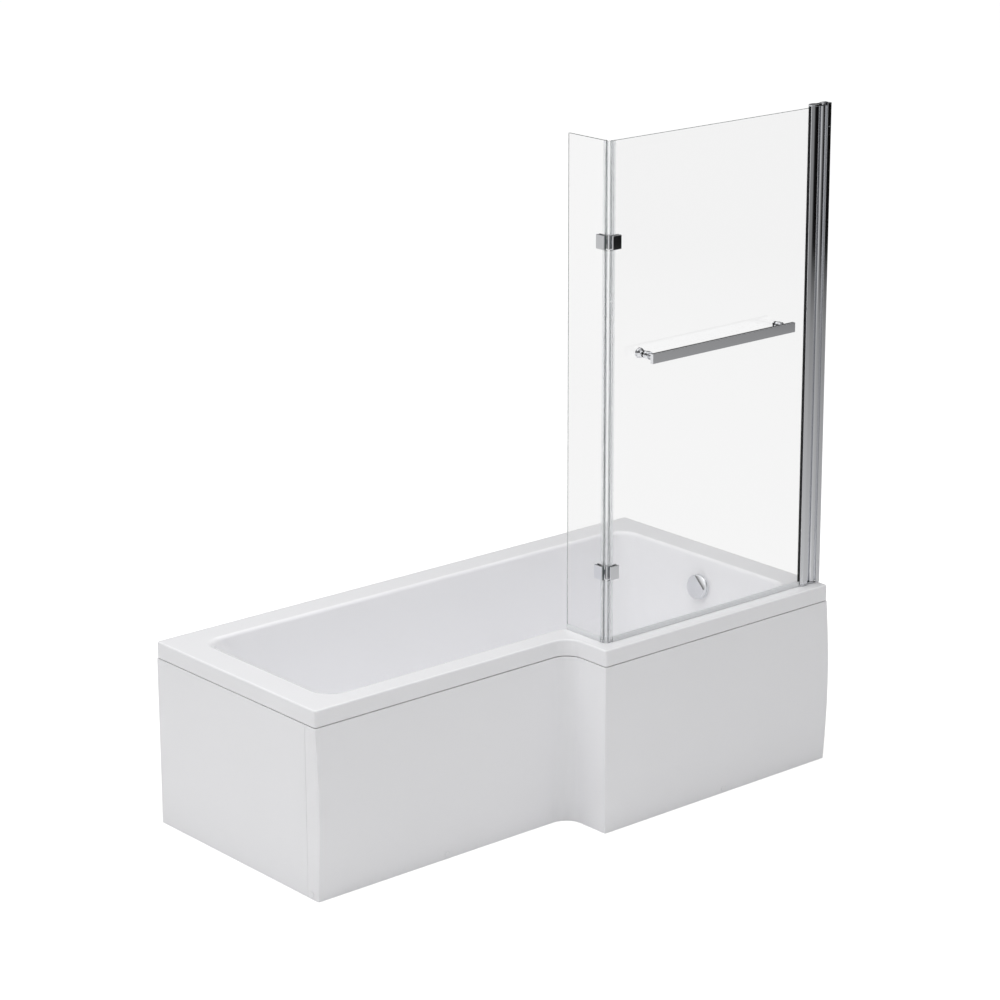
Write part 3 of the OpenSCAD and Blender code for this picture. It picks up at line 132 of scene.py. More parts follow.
class ShowerScreenSizes(bpy.types.PropertyGroup):
    """Sizes of the glass screen, its profiles and its fittings."""

    glass: length("Glass thickness", 6, "Thickness of the glass")
    glass_height: length("Glass height", 1355, "Height of the glass")
    screen_in: length("Screen set-back", 45, "Distance of the main pane from the rim's front edge")
    return_in: length("Return set-back", 41, "Distance of the return pane from the step")
    return_width: length("Return width", 142, "Width of the return pane")
    corner_gap: length("Corner gap", 13, "Distance of each pane's edge from the corner")
    hinge_in: length("Hinge set-back", 9, "Distance of the hinge pins inside both panes")
    upper_hinge: length("Upper hinge", 1094, "Height of the upper hinge above the rim")
    lower_hinge: length("Lower hinge", 196, "Height of the lower hinge above the rim")
    leaf_height: length("Leaf height", 38, "Height of a hinge leaf")
    leaf_width: length("Leaf width", 30, "Width of a hinge leaf")
    leaf: length("Leaf thickness", 5, "Thickness of a hinge leaf's outer plate")
    seal_height: length("Seal height", 14, "Height of the bottom seals")
    seal_wall: length("Seal wall", 1.2, "Wall of the plastic seals")
    post_radius: length("Post radius", 9.5, "Radius of the pivot post")
    post_in: length("Post set-back", 24, "Distance of the pivot from the tap-end wall")
    swing_gap: length("Swing gap", 5, "Gap between the post and the glass profile")
    profile_width: length("Profile width", 33, "Width of the glass profile")
    profile_depth: length("Profile depth", 24, "Depth of the profiles")
    profile_over: length("Profile rise", 3, "Height of the profiles above the glass")
    cap: length("Cap thickness", 3, "Thickness of the bottom cap")
    top_cap: length("Top cap thickness", 5.2, "Thickness of the top cap")
    boss: length("Boss height", 1.8, "Height of the pivot boss on the top cap")
    glass_bite: length("Glass bite", 15, "How deep the glass sits in its profile")
    rail_height: length("Rail height", 777, "Height of the towel rail above the rim")
    rail_length: length("Rail length", 528, "Length of the towel bar")
    bar_height: length("Bar height", 27, "Height of the towel bar")
    bar: length("Bar thickness", 11, "Thickness of the towel bar")
    rail_posts: length("Post distance", 488, "Distance between the rail's posts")
    rail_place: length("Rail place", 129, "Distance from the glass corner to the first post")
    rail_gap: length("Rail gap", 42, "Clear distance between the glass and the bar")
    pull_radius: length("Pull radius", 14, "Radius of the pull knob inside the glass")
    pull_length: length("Pull length", 21, "Length of the pull knob")


class ShowerWasteSizes(bpy.types.PropertyGroup):
    """Sizes of the waste, the overflow and the feet."""

    waste_in: length("Waste place", 275, "Distance of the waste from the tap end")
    waste_hole: length("Waste hole radius", 26, "Radius of the waste hole")
    flange: length("Flange radius", 36, "Radius of the waste flange")
    plug: length("Plug radius", 21.3, "Radius of the pop-up plug")
    overflow_drop: length("Overflow drop", 88, "Distance of the overflow below the rim")
    plate: length("Plate radius", 36.5, "Radius of the overflow plate")
    knob: length("Knob radius", 35, "Radius of the overflow knob")
    knob_depth: length("Knob thickness", 13, "Thickness of the overflow knob")
    stud: length("Stud radius", 5, "Radius of a foot's threaded stud")
    pad: length("Pad radius", 22, "Radius of a foot's pad")
    pad_height: length("Pad height", 14, "Height of a foot's pad")


class ShowerBathFinishes(bpy.types.PropertyGroup):
    """Colours of the finishes."""

    acrylic: colour("Acrylic", "#FBFBFD", "Gloss white sanitary acrylic")
    fibre: colour("Fibre backing", "#D8D5CB", "Glass-fibre backing under the bath")
    chrome: colour("Chrome", "#EDEEF1", "Chrome plating")
    anodised: colour("Anodised aluminium", "#E6E7EA", "Bright anodised aluminium profiles")
    glass: colour("Glass", "#FCFCFC", "Clear toughened glass")
    glass_edge: colour("Glass edge", "#6E7A78", "Ground edges of the panes")
    seal: colour("Seal", "#FAFBFC", "Clear flexible seals")
    zinc: colour("Zinc", "#B4B7BA", "Zinc-plated steel")
    rubber: colour("Rubber", "#1D1E20", "Black rubber")
    nylon: colour("Nylon", "#33363A", "Dark moulded nylon")
    pipe: colour("Pipe plastic", "#E8E8E6", "White moulded pipework")
    chipboard: colour("Chipboard", "#C9A878", "Chipboard encased in the base")
    pine: colour("Pine", "#D9B98A", "Softwood battens")
    floor: colour("Floor", "#F4F4F4", "Studio floor")


class ShowerBathStudio(bpy.types.PropertyGroup):
    """The camera's place, in the corner frame, and its lens."""

    camera_x: number("Camera X", -4.5455, "Along the back wall", "LENGTH")
    camera_y: number("Camera Y", -6.7752, "In front of the back wall", "LENGTH")
    camera_z: number("Camera Z", 3.4145, "Above the floor", "LENGTH")
    turn: number("Turn", math.radians(40.973), "Turn of the view from +Y towards +X", "ROTATION")
    tilt: number("Tilt", math.radians(16.235), "Tilt of the view below the horizon", "ROTATION")
    focal: number("Focal length", 115.27, "Focal length on a 36 mm sensor", "CAMERA")
    shift_x: number("Shift X", -0.03335, "Sideways shift of the frame")
    shift_y: number("Shift Y", -0.05, "Upright shift of the frame")


# Numbers that the pieces share, in millimetres

# Gap between pieces that lie against each other, and the radius of a sheet's or a disc's softened edge
CLEAR, SOFT = 0.3, 1.2
# Straight line between the step's two round corners
STEP_LINE = 20.0
# Heights of the glass and of its bottom seals above the rim
GLASS_LIFT, SEAL_LIFT = 6, 0.5
# Degrees of the arc that the corner seal's lip takes about the hinge pin
LIP_ARC = (192, 268)


class Plan:
    """The property groups' lengths in millimetres, and the places worked out from them."""

    def __init__(self, scene):
        for group in (scene.shower_bath_sizes, scene.shower_screen_sizes, scene.shower_waste_sizes):
            for name in group.__annotations__:
                setattr(self, name, getattr(group, name) * 1000)
        self.top = self.rim_height
        self.lip_z = self.top - self.lip_height
        self.depth = self.top - self.floor_z
        self.under_z = self.floor_z - self.backed
        self.panel_top = self.lip_z - self.panel_joint
        self.main_y = self.screen_in - self.wide_width
        self.return_x = self.step_place + self.return_in
        self.pin_x = self.return_x + self.hinge_in
        self.pin_y = self.main_y + self.hinge_in
        self.post_x = self.length - self.post_in
        self.profile_x1 = self.post_x - self.post_radius - self.swing_gap
        self.profile_x0 = self.profile_x1 - self.profile_width
        self.glass_x0 = self.return_x + self.corner_gap
        self.glass_x1 = self.profile_x0 + self.glass_bite
        self.return_y0 = self.main_y + self.corner_gap
        self.return_y1 = self.return_y0 + self.return_width
        self.glass_z = self.top + GLASS_LIFT
        self.glass_top = self.glass_z + self.glass_height
        self.profile_top = self.glass_top + self.profile_over
        self.cap_top = self.profile_top + CLEAR + self.top_cap
        self.seal_z = self.top + SEAL_LIFT
        self.waste_x = self.length - self.waste_in
        self.waste_y = -(self.rim_back + self.wide_width - self.rim_front) / 2
        self.hinges = (self.top + self.lower_hinge, self.top + self.upper_hinge)
        self.rail_z = self.top + self.rail_height
        self.rail_x = self.return_x + self.rail_place
        # Half of a seal's slot, with a little ease on the glass, and half of its width
        self.seal_slot = self.glass / 2 + 0.05
        self.half_seal = self.seal_slot + self.seal_wall


def in_place(points):
    """Corner frame in millimetres to the model's frame in metres."""
    return (np.asarray(points, float) + CORNER) / 1000


# Surfaces


def quarter(count):
    """A quarter turn as that many equally spaced angles, from 0 upwards."""
    return np.radians(np.linspace(0, 90, count))


def rounded(corners, radii, steps=6):
    """A closed outline with round corners.

    At each corner a circle touches both sides. Its start lies back along the incoming side by
    radius times the tangent of half the turn, and the arc sweeps through the turn in equal angles.
    """
    p = np.asarray(corners, float)
    r = np.broadcast_to(np.asarray(radii, float), (len(p),))
    a = p - np.roll(p, 1, 0)
    b = np.roll(p, -1, 0) - p
    a /= np.linalg.norm(a, axis=1)[:, None]
    b /= np.linalg.norm(b, axis=1)[:, None]
    turn = np.arctan2(a[:, 0] * b[:, 1] - a[:, 1] * b[:, 0], (a * b).sum(1))
    start = p - a * (r * np.tan(np.abs(turn) / 2))[:, None]
    spoke = np.stack([a[:, 1], -a[:, 0]], 1) * np.sign(turn)[:, None]
    centre = start - spoke * r[:, None]
    q = turn[:, None] * np.linspace(0, 1, steps + 1)
    x, y, cos, sin = spoke[:, :1], spoke[:, 1:], np.cos(q), np.sin(q)
    arc = np.stack([x * cos - y * sin, x * sin + y * cos], -1)
    return (centre[:, None] + arc * r[:, None, None]).reshape(-1, 2)


def inset(corners, d):
    """Corners of a counter-clockwise outline moved in by d: each moves by d times the sum of its two
    sides' inward normals over one plus their product."""
    p = np.asarray(corners, float)
    a = p - np.roll(p, 1, 0)
    b = np.roll(p, -1, 0) - p
    na = np.stack([-a[:, 1], a[:, 0]], 1) / np.linalg.norm(a, axis=1)[:, None]
    nb = np.stack([-b[:, 1], b[:, 0]], 1) / np.linalg.norm(b, axis=1)[:, None]
    return p + d * (na + nb) / (1 + (na * nb).sum(1))[:, None]


def quads(rows, columns, close_rows=False, close_columns=True):
    """Faces of a grid of points, row by row, closed either way where asked."""
    i = np.arange(rows if close_rows else rows - 1)[:, None]
    j = np.arange(columns if close_columns else columns - 1)[None, :]
    this, following, j1 = i * columns, (i + 1) % rows * columns, (j + 1) % columns
    return np.stack([this + j, this + j1, following + j1, following + j], -1).reshape(-1, 4)


def at_height(flat, z):
    """A flat outline as points at one height."""
    return np.column_stack([flat, np.full(len(flat), z)])


def stack(rings, close_rows=False, caps=True):
    """Points and faces of rings of equal length, one above another."""
    rings = np.asarray(rings, float)
    rows, columns = rings.shape[:2]
    faces = quads(rows, columns, close_rows).tolist()
    if caps and not close_rows:
        faces += [list(range(columns))[::-1], list(range((rows - 1) * columns, rows * columns))]
    return rings.reshape(-1, 3), faces


def turned(points, axis):
    """Lays local (u, v, w) so that w runs along the named axis, keeping the hand."""
    return np.roll(points, {"z": 0, "x": 1, "y": 2}[axis], axis=-1)


def prism(corners, radii, low, high, axis="z", edge=0.6, steps=5):
    """A bar of constant section, drawn in at both ends by a quarter circle of radius edge."""
    corners = np.asarray(corners, float)
    radii = np.broadcast_to(np.asarray(radii, float), (len(corners),))
    a, b = np.roll(corners, 1, 0), np.roll(corners, -1, 0)
    cross = (corners - a)[:, 0] * (b - corners)[:, 1] - (corners - a)[:, 1] * (b - corners)[:, 0]
    q = quarter(4)
    ins = edge * (1 - np.cos(np.concatenate([q[::-1], q])))
    heights = np.concatenate([low + edge * (1 - np.sin(q[::-1])), high - edge * (1 - np.sin(q))])
    rings = []
    for d, height in zip(ins, heights):
        bends = np.maximum(radii - np.sign(cross) * d, 0.05)
        rings.append(at_height(rounded(inset(corners, d), bends, steps), height))
    points, faces = stack(rings)
    return turned(points, axis), faces


def raised(outline, heights):
    """A flat outline repeated at each height, as a closed shape."""
    return stack([at_height(outline, z) for z in heights])


def upright(shape):
    """Stands a shape up: its second coordinate becomes its height, and its height runs to the front."""
    points, faces = shape
    return points[:, [0, 2, 1]] * [1, -1, 1], faces


def oblong(x0, x1, y0, y1):
    """Corners of a rectangle, counter-clockwise."""
    return [(x0, y0), (x1, y0), (x1, y1), (x0, y1)]


def lathe(profile, centre, axis="z", steps=64, closed=False):
    """A surface of revolution: the profile's radius and height turned through a full circle."""
    out, up = np.asarray(profile, float)[:, :, None].transpose(1, 0, 2)
    q = np.linspace(0, 2 * np.pi, steps, endpoint=False)
    rings = np.stack([out * np.cos(q), out * np.sin(q), np.repeat(up, steps, 1)], -1)
    points, faces = stack(rings, close_rows=closed, caps=False)
    return turned(points, axis) + np.asarray(centre, float), faces


def eased(profile, radius=0.6, steps=4, closed=False):
    """A turned profile with its inner points rounded by circles of the given radius."""
    p = np.asarray(profile, float)
    if closed:
        return rounded(p, radius, steps)
    soft = rounded(p, radius, steps).reshape(len(p), steps + 1, 2)[1:-1].reshape(-1, 2)
    return np.concatenate([p[:1], soft, p[-1:]])


def joined(*parts):
    """Several pieces' points and faces as one."""
    points, faces, start = [], [], 0
    for p, f in parts:
        points.append(np.asarray(p, float))
        faces += [[start + i for i in face] for face in f]
        start += len(p)
    return np.concatenate(points), faces


def piece(name, shape, body, nodes, material, sharp=32):
    """Makes one object of a shape in the corner frame, closes its seams, gives it its body and hides the
    imported nodes that it stands for.
    """
    points, faces = shape
    mesh = bpy.data.meshes.new(name)
    mesh.from_pydata(in_place(points).tolist(), [], faces)
    mesh.materials.append(material)
    work = bmesh.new()
    work.from_mesh(mesh)
    bmesh.ops.remove_doubles(work, verts=work.verts, dist=2e-6)
    bmesh.ops.recalc_face_normals(work, faces=work.faces)
    work.to_mesh(mesh)
    work.free()
    mesh.polygons.foreach_set("use_smooth", np.ones(len(mesh.polygons), bool))
    mesh.set_sharp_from_angle(angle=math.radians(sharp))
    mesh.update()
    made = bpy.data.objects.new(name, mesh)
    bpy.context.scene.collection.objects.link(made)
    flat = made.modifiers.new("Flat faces stay flat", "WEIGHTED_NORMAL")
    flat.keep_sharp = True
    flat.weight = 60
    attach(made, body)
    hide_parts(*nodes)
    return made


# Finishes


class Nodes:
    """The node tree of a material or a world in the making."""

    def __init__(self, owner):
        owner.use_nodes = True
        self.tree = owner.node_tree
        self.tree.nodes.clear()

    def add(self, kind, inputs=None, **settings):
        """Adds one node with its settings, and sets or links its inputs."""
        made = self.tree.nodes.new("ShaderNode" + kind)
        for name, value in settings.items():
            setattr(made, name, value)
        return self.feed(made, inputs or {})

    def feed(self, node, inputs):
        """Sets or links a node's inputs. A node given as a value stands for its first output."""
        for name, value in inputs.items():
            if isinstance(value, bpy.types.Node):
                value = next(socket for socket in value.outputs if socket.enabled)
            if isinstance(value, bpy.types.NodeSocket):
                self.tree.links.new(value, node.inputs[name])
            else:
                node.inputs[name].default_value = value
        return node


class Finish(Nodes):
    """A material in the making: its shader, its output and its object coordinates."""

    def __init__(self, name):
        super().__init__(bpy.data.materials.new(name))
        self.shader = self.add("BsdfPrincipled")
        self.output = self.add("OutputMaterial", {"Surface": self.shader})
        self.place = self.add("TexCoord").outputs["Object"]

    def vary(self, pattern, tones=None, roughness=None, bump=None):
        """Lets a pattern carry the base colour between two tones, the roughness over a range, and a bump of
        a strength and a height in metres."""
        if tones:
            low, high = tones
            mixed = self.add("Mix", {"Factor": pattern, "A": low, "B": high}, data_type="RGBA")
            self.feed(self.shader, {"Base Color": mixed})
        if roughness:
            low, high = roughness
            spread = self.add("MapRange", {"Value": pattern, "To Min": low, "To Max": high})
            self.feed(self.shader, {"Roughness": spread})
        if bump:
            strength, height = bump
            bumped = self.add("Bump", {"Height": pattern, "Strength": strength, "Distance": height})
            self.feed(self.shader, {"Normal": bumped})

    def show(self, surface):
        """Takes another surface than the plain shader."""
        self.feed(self.output, {"Surface": surface})


def finish(name):
    """Lets a function that builds a material run once, and hands out the material by its name."""

    def keep(build):
        @functools.wraps(build)
        def hand_out(finishes):
            if name not in bpy.data.materials:
                build(Finish(name), finishes)
            return bpy.data.materials[name]

        return hand_out

    return keep


def shade(tone, k):
    """A colour made lighter or darker by a factor."""
    return (*[min(1.0, c * k) for c in tone[:3]], 1.0)


@finish("Gloss white acrylic")
def acrylic(made, finishes):
    """Cast acrylic sheet, vacuum formed: glossy, with a faint orange peel from the mould."""
    # 4 mm ripples, 6 micrometres high, drawn a little higher so that they show
    peel = made.add("TexNoise", {"Vector": made.place, "Scale": 1 / 0.004, "Detail": 2.0})
    # 180 mm clouds where the sheet stretched over the mould
    cloud = made.add("TexNoise", {"Vector": made.place, "Scale": 1 / 0.18, "Detail": 1.0})
    made.vary(cloud, (shade(finishes.acrylic, 0.985), finishes.acrylic), roughness=(0.13, 0.19))
    made.vary(peel, bump=(0.06, 0.0002))
    made.feed(made.shader, {"IOR": 1.49})


@finish("Glass fibre backing")
def fibre_back(made, finishes):
    """Chopped glass strands rolled into resin on the shell's back: matt, lumpy, with 30 mm strands."""
    bend = made.add("TexNoise", {"Vector": made.place, "Scale": 1 / 0.06, "Detail": 2.0})
    move = made.add("VectorMath", {0: bend.outputs["Color"], 1: (0.06, 0.06, 0.06)}, operation="MULTIPLY")
    bent = made.add("VectorMath", {0: made.place, 1: move}, operation="ADD")
    # Strands 1.5 mm wide, drawn 3 mm wide so that they show
    strand = made.add("TexVoronoi", {"Vector": bent, "Scale": 1 / 0.012}, feature="DISTANCE_TO_EDGE")
    lump = made.add("TexNoise", {"Vector": bent, "Scale": 1 / 0.008, "Detail": 5.0})
    fleck = made.add("Math", {0: strand, 1: lump, 2: 0.2}, operation="MULTIPLY_ADD")
    made.vary(lump, (shade(finishes.fibre, 0.86), shade(finishes.fibre, 1.08)))
    made.vary(fleck, bump=(0.5, 0.0012))
    made.feed(made.shader, {"Roughness": 0.6})


@finish("Polished chrome plating")
def plated(made, finishes):
    """Polished brass or zinc with chrome plating: a near mirror, with the faintest haze from handling."""
    # Water marks about 25 mm across
    haze = made.add("TexNoise", {"Vector": made.place, "Scale": 1 / 0.025, "Detail": 3.0})
    made.vary(haze, (shade(finishes.chrome, 0.97), finishes.chrome), roughness=(0.03, 0.075))
    made.feed(made.shader, {"Metallic": 1.0})


@finish("Bright anodised aluminium")
def extruded(made, finishes):
    """Extruded aluminium, polished and bright anodised: a soft mirror with fine die lines along it."""
    # Die lines 0.2 mm apart, drawn 0.6 mm apart, and 400 mm long
    stretch = made.add("Mapping", {"Vector": made.place, "Scale": (1 / 0.0006, 1 / 0.0006, 1 / 0.4)})
    lines = made.add("TexNoise", {"Vector": stretch, "Scale": 1.0, "Detail": 2.0})
    made.vary(lines, (shade(finishes.anodised, 0.96), finishes.anodised), (0.05, 0.1), (0.03, 0.0001))
    made.feed(made.shader, {"Metallic": 1.0})


@finish("Clear toughened glass")
def clear_glass(made, finishes):
    """Toughened float glass: clear and colourless to the eye, with the faintest roller wave."""
    # Roller wave from toughening, 200 mm from crest to crest
    wave = made.add("TexNoise", {"Vector": made.place, "Scale": 1 / 0.2, "Detail": 0.0})
    made.vary(wave, bump=(0.05, 0.0001))
    clear = {"Base Color": finishes.glass, "Roughness": 0.0, "IOR": 1.52, "Transmission Weight": 1.0}
    made.feed(made.shader, clear)
    # Light passes on to the bath, as clear glass hardly shades it
    thin = made.add("BsdfTransparent", {"Color": shade(finishes.glass, 0.99)})
    rays = made.add("LightPath").outputs
    either = made.add("Math", {0: rays["Is Shadow Ray"], 1: rays["Is Diffuse Ray"]}, operation="MAXIMUM")
    made.show(made.add("MixShader", {0: either, 1: made.shader, 2: thin}))


@finish("Clear flexible PVC")
def clear_seal(made, finishes):
    """Extruded soft PVC, almost clear: satin, a little cloudy."""
    cloud = made.add("TexNoise", {"Vector": made.place, "Scale": 1 / 0.01, "Detail": 2.0})
    made.vary(cloud, roughness=(0.05, 0.1))
    made.feed(made.shader, {"Base Color": finishes.seal, "IOR": 1.53, "Transmission Weight": 0.9})
    thin = made.add("BsdfTransparent", {"Color": shade(finishes.seal, 0.9)})
    rays = made.add("LightPath").outputs
    made.show(made.add("MixShader", {0: rays["Is Shadow Ray"], 1: made.shader, 2: thin}))


@finish("Milky flexible PVC")
def milky_seal(made, finishes):
    """Extruded white PVC, thin enough for light to glow through: satin, nearly the rim's white."""
    cloud = made.add("TexNoise", {"Vector": made.place, "Scale": 1 / 0.01, "Detail": 2.0})
    made.vary(cloud, roughness=(0.25, 0.35))
    made.feed(made.shader, {"Base Color": finishes.seal, "IOR": 1.53})
    thin = made.add("BsdfTranslucent", {"Color": finishes.seal})
    made.show(made.add("MixShader", {0: 0.35, 1: made.shader, 2: thin}))


@finish("Ground glass edge")
def ground_edge(made, finishes):
    """The glass's ground and polished edge: the long way through the pane shows its grey-green body."""
    # Grinding marks 1 mm apart across the edge
    marks = made.add("TexNoise", {"Vector": made.place, "Scale": 1 / 0.001, "Detail": 1.0})
    made.vary(marks, (shade(finishes.glass_edge, 0.9), finishes.glass_edge))
    made.feed(made.shader, {"Roughness": 0.12, "IOR": 1.52, "Transmission Weight": 0.3})


@finish("Zinc-plated steel")
def zinc_plate(made, finishes):
    """Pressed steel, zinc plated: a dull mirror with 12 mm spangles."""
    spangle = made.add("TexVoronoi", {"Vector": made.place, "Scale": 1 / 0.012, "Randomness": 1.0})
    grey = made.add("RGBToBW", {"Color": spangle.outputs["Color"]})
    made.vary(grey, (shade(finishes.zinc, 0.85), shade(finishes.zinc, 1.1)), roughness=(0.3, 0.5))
    made.feed(made.shader, {"Metallic": 1.0})


@finish("Black nitrile rubber")
def black_rubber(made, finishes):
    """Moulded nitrile rubber: dark, matt, with a fine powdery bloom."""
    bloom = made.add("TexNoise", {"Vector": made.place, "Scale": 1 / 0.003, "Detail": 3.0})
    made.vary(bloom, (finishes.rubber, shade(finishes.rubber, 1.8)), roughness=(0.55, 0.75))


@finish("Moulded nylon")
def moulded_nylon(made, finishes):
    """Injection-moulded nylon: dark satin with a fine spark-eroded grain."""
    grain = made.add("TexNoise", {"Vector": made.place, "Scale": 1 / 0.0008, "Detail": 2.0})
    made.vary(grain, (shade(finishes.nylon, 0.85), shade(finishes.nylon, 1.15)), bump=(0.2, 0.0001))
    made.feed(made.shader, {"Roughness": 0.45})


@finish("White polypropylene")
def pipe_plastic(made, finishes):
    """Injection-moulded polypropylene: white, satin, slightly translucent at its edges."""
    flow = made.add("TexNoise", {"Vector": made.place, "Scale": 1 / 0.02, "Detail": 3.0, "Distortion": 1.5})
    made.vary(flow, (shade(finishes.pipe, 0.95), finishes.pipe), roughness=(0.3, 0.42))
    made.feed(made.shader, {"Subsurface Weight": 0.1, "Subsurface Radius": (0.004, 0.004, 0.004)})


@finish("Chipboard")
def chipboard(made, finishes):
    """Chipboard: flakes of wood about 4 mm long pressed in resin."""
    flake = made.add("TexVoronoi", {"Vector": made.place, "Scale": 1 / 0.004})
    grey = made.add("RGBToBW", {"Color": flake.outputs["Color"]})
    made.vary(grey, (shade(finishes.chipboard, 0.7), shade(finishes.chipboard, 1.15)), bump=(0.3, 0.0004))
    made.feed(made.shader, {"Roughness": 0.75})


@finish("Sawn pine")
def pine(made, finishes):
    """Sawn softwood: pale, with growth lines about 5 mm apart and a rough sawn face."""
    growth = {"Scale": 1 / 0.03, "Distortion": 6.0, "Detail": 3.0, "Detail Scale": 0.6}
    grain = made.add("TexWave", {"Vector": made.place, **growth}, bands_direction="Z")
    made.vary(grain.outputs["Fac"], (shade(finishes.pine, 0.78), shade(finishes.pine, 1.05)))
    saw = made.add("TexNoise", {"Vector": made.place, "Scale": 1 / 0.0015, "Detail": 3.0})
    made.vary(saw, bump=(0.3, 0.0003))
    made.feed(made.shader, {"Roughness": 0.7})


# Outlines of the bath


def step_bend(step, narrow, wide, step_radius, radius, steps):
    """The two round corners of the step, from the narrow front's line to the wide front's.

    Where they are too large for the step, both turn through less than a right angle. The turn t solves
    radii times (1 - cos t) plus the straight times sin t equals the step's depth.
    """
    both, tall = step_radius + radius, narrow - wide
    turn = math.pi / 2
    if both + STEP_LINE > tall:
        turn = math.acos((both - tall) / math.hypot(both, STEP_LINE)) - math.atan(STEP_LINE / both)
    x, q = STEP_LINE / 2 * math.cos(turn), np.linspace(0, turn, steps + 1)
    along, rise = math.sin(turn) - np.sin(q), 1 - np.cos(q)
    first = np.column_stack([step - x - step_radius * along, narrow - step_radius * rise])
    last = np.column_stack([step + x + radius * along, wide + radius * rise])
    return np.concatenate([first, last[::-1]])


def bath_outline(head, step, tap, back, narrow, wide, radius, step_radius, steps=16):
    """The L-shaped outline between the given edges, counter-clockwise, with the step's inner corner."""
    near = rounded(oblong(head, tap, narrow, back), radius, steps).reshape(4, steps + 1, 2)
    far = rounded(oblong(head, tap, wide, back), radius, steps).reshape(4, steps + 1, 2)
    bend = step_bend(step, narrow, wide, step_radius, radius, steps)
    return np.concatenate([near[0], bend, far[1], near[2], near[3]])


def rim_ring(plan, d, z):
    """The rim's outline moved in by d."""
    flat = bath_outline(
        d,
        plan.step_place + d,
        plan.length - d,
        -d,
        d - plan.narrow_width,
        d - plan.wide_width,
        max(plan.corner_radius - d, 1.0),
        plan.step_radius + d,
    )
    return at_height(flat, z)


def basin_ring(plan, depth, out, z):
    """The basin's outline at a depth, grown by out.

    The walls lean in by their run times the depth's share. Near the mouth and the floor a quarter circle
    is added to that slope, and the corner radius goes evenly from its rim value to its floor value.
    """
    share = depth / plan.depth
    if depth < plan.mouth_radius:
        turn = -plan.mouth_radius * (1 - math.sqrt(1 - (1 - depth / plan.mouth_radius) ** 2))
    elif depth > plan.depth - plan.floor_radius:
        k = (depth - plan.depth + plan.floor_radius) / plan.floor_radius
        turn = plan.floor_radius * (1 - math.sqrt(max(0.0, 1 - k * k)))
    else:
        turn = 0.0
    d = plan.side_run * share + turn - out
    head = plan.head_run * share + turn - out
    flat = bath_outline(
        plan.rim_head + head,
        plan.step_place + plan.rim_front + d,
        plan.length - plan.rim_tap - d,
        -plan.rim_back - d,
        plan.rim_front + d - plan.narrow_width,
        plan.rim_front + d - plan.wide_width,
        plan.basin_radius + (plan.basin_floor_radius - plan.basin_radius) * share + out,
        plan.basin_radius + d,
    )
    return at_height(flat, z)


def bowed(plan, z):
    """The front panel's bow at a height: half a sine wave over the panel's height."""
    return plan.bow * np.sin(np.pi * np.clip(z, 0, plan.panel_top) / plan.panel_top)


def panel_section(plan, steps):
    """Section of a panel as distance in from its face, and height: face, ledge, upstand, and back again."""
    t, top = plan.panel, plan.panel_top
    up, tall = plan.upstand_in, top + plan.upstand
    z = np.linspace(SOFT, top - SOFT, steps)
    q = quarter(4)
    ins, ups = SOFT * (1 - np.cos(q)), SOFT * (1 - np.sin(q))
    face = np.column_stack([np.zeros(steps), z])
    low, high = np.column_stack([ins, ups])[::-1], np.column_stack([ins, top - ups])
    back = [(up, top), (up, tall), (up + t, tall), (up + t, top - t)]
    inner = np.column_stack([np.full(steps, t), z[::-1] - t + SOFT])
    inner[-1, 1] = 0.0
    return np.concatenate([low[:-1], face, high[1:], back, inner])


def panel_stations(places, way_in, push):
    """Stations along a panel, each with its place, its way in, and the way that the bow pushes its face.

    Round a convex corner the way in is the mitre, so that the ledge and the upstand stay at one distance
    from both faces.
    """
    places = np.asarray(places, float)
    spread = [np.broadcast_to(np.asarray(v, float), places.shape) for v in (way_in, push)]
    return np.column_stack([places, *spread])


def carried(plan, section, stations):
    """A panel's section at each station: place, plus distance times the way in, plus bow times the push."""
    place, way_in, push = stations[:, None, 0:2], stations[:, None, 2:4], stations[:, None, 4:6]
    flat = place + section[None, :, :1] * way_in + bowed(plan, section[:, 1])[None, :, None] * push
    return np.concatenate([flat, np.broadcast_to(section[None, :, 1:], (*flat.shape[:2], 1))], -1)


# Operators: one for each piece or group of like pieces


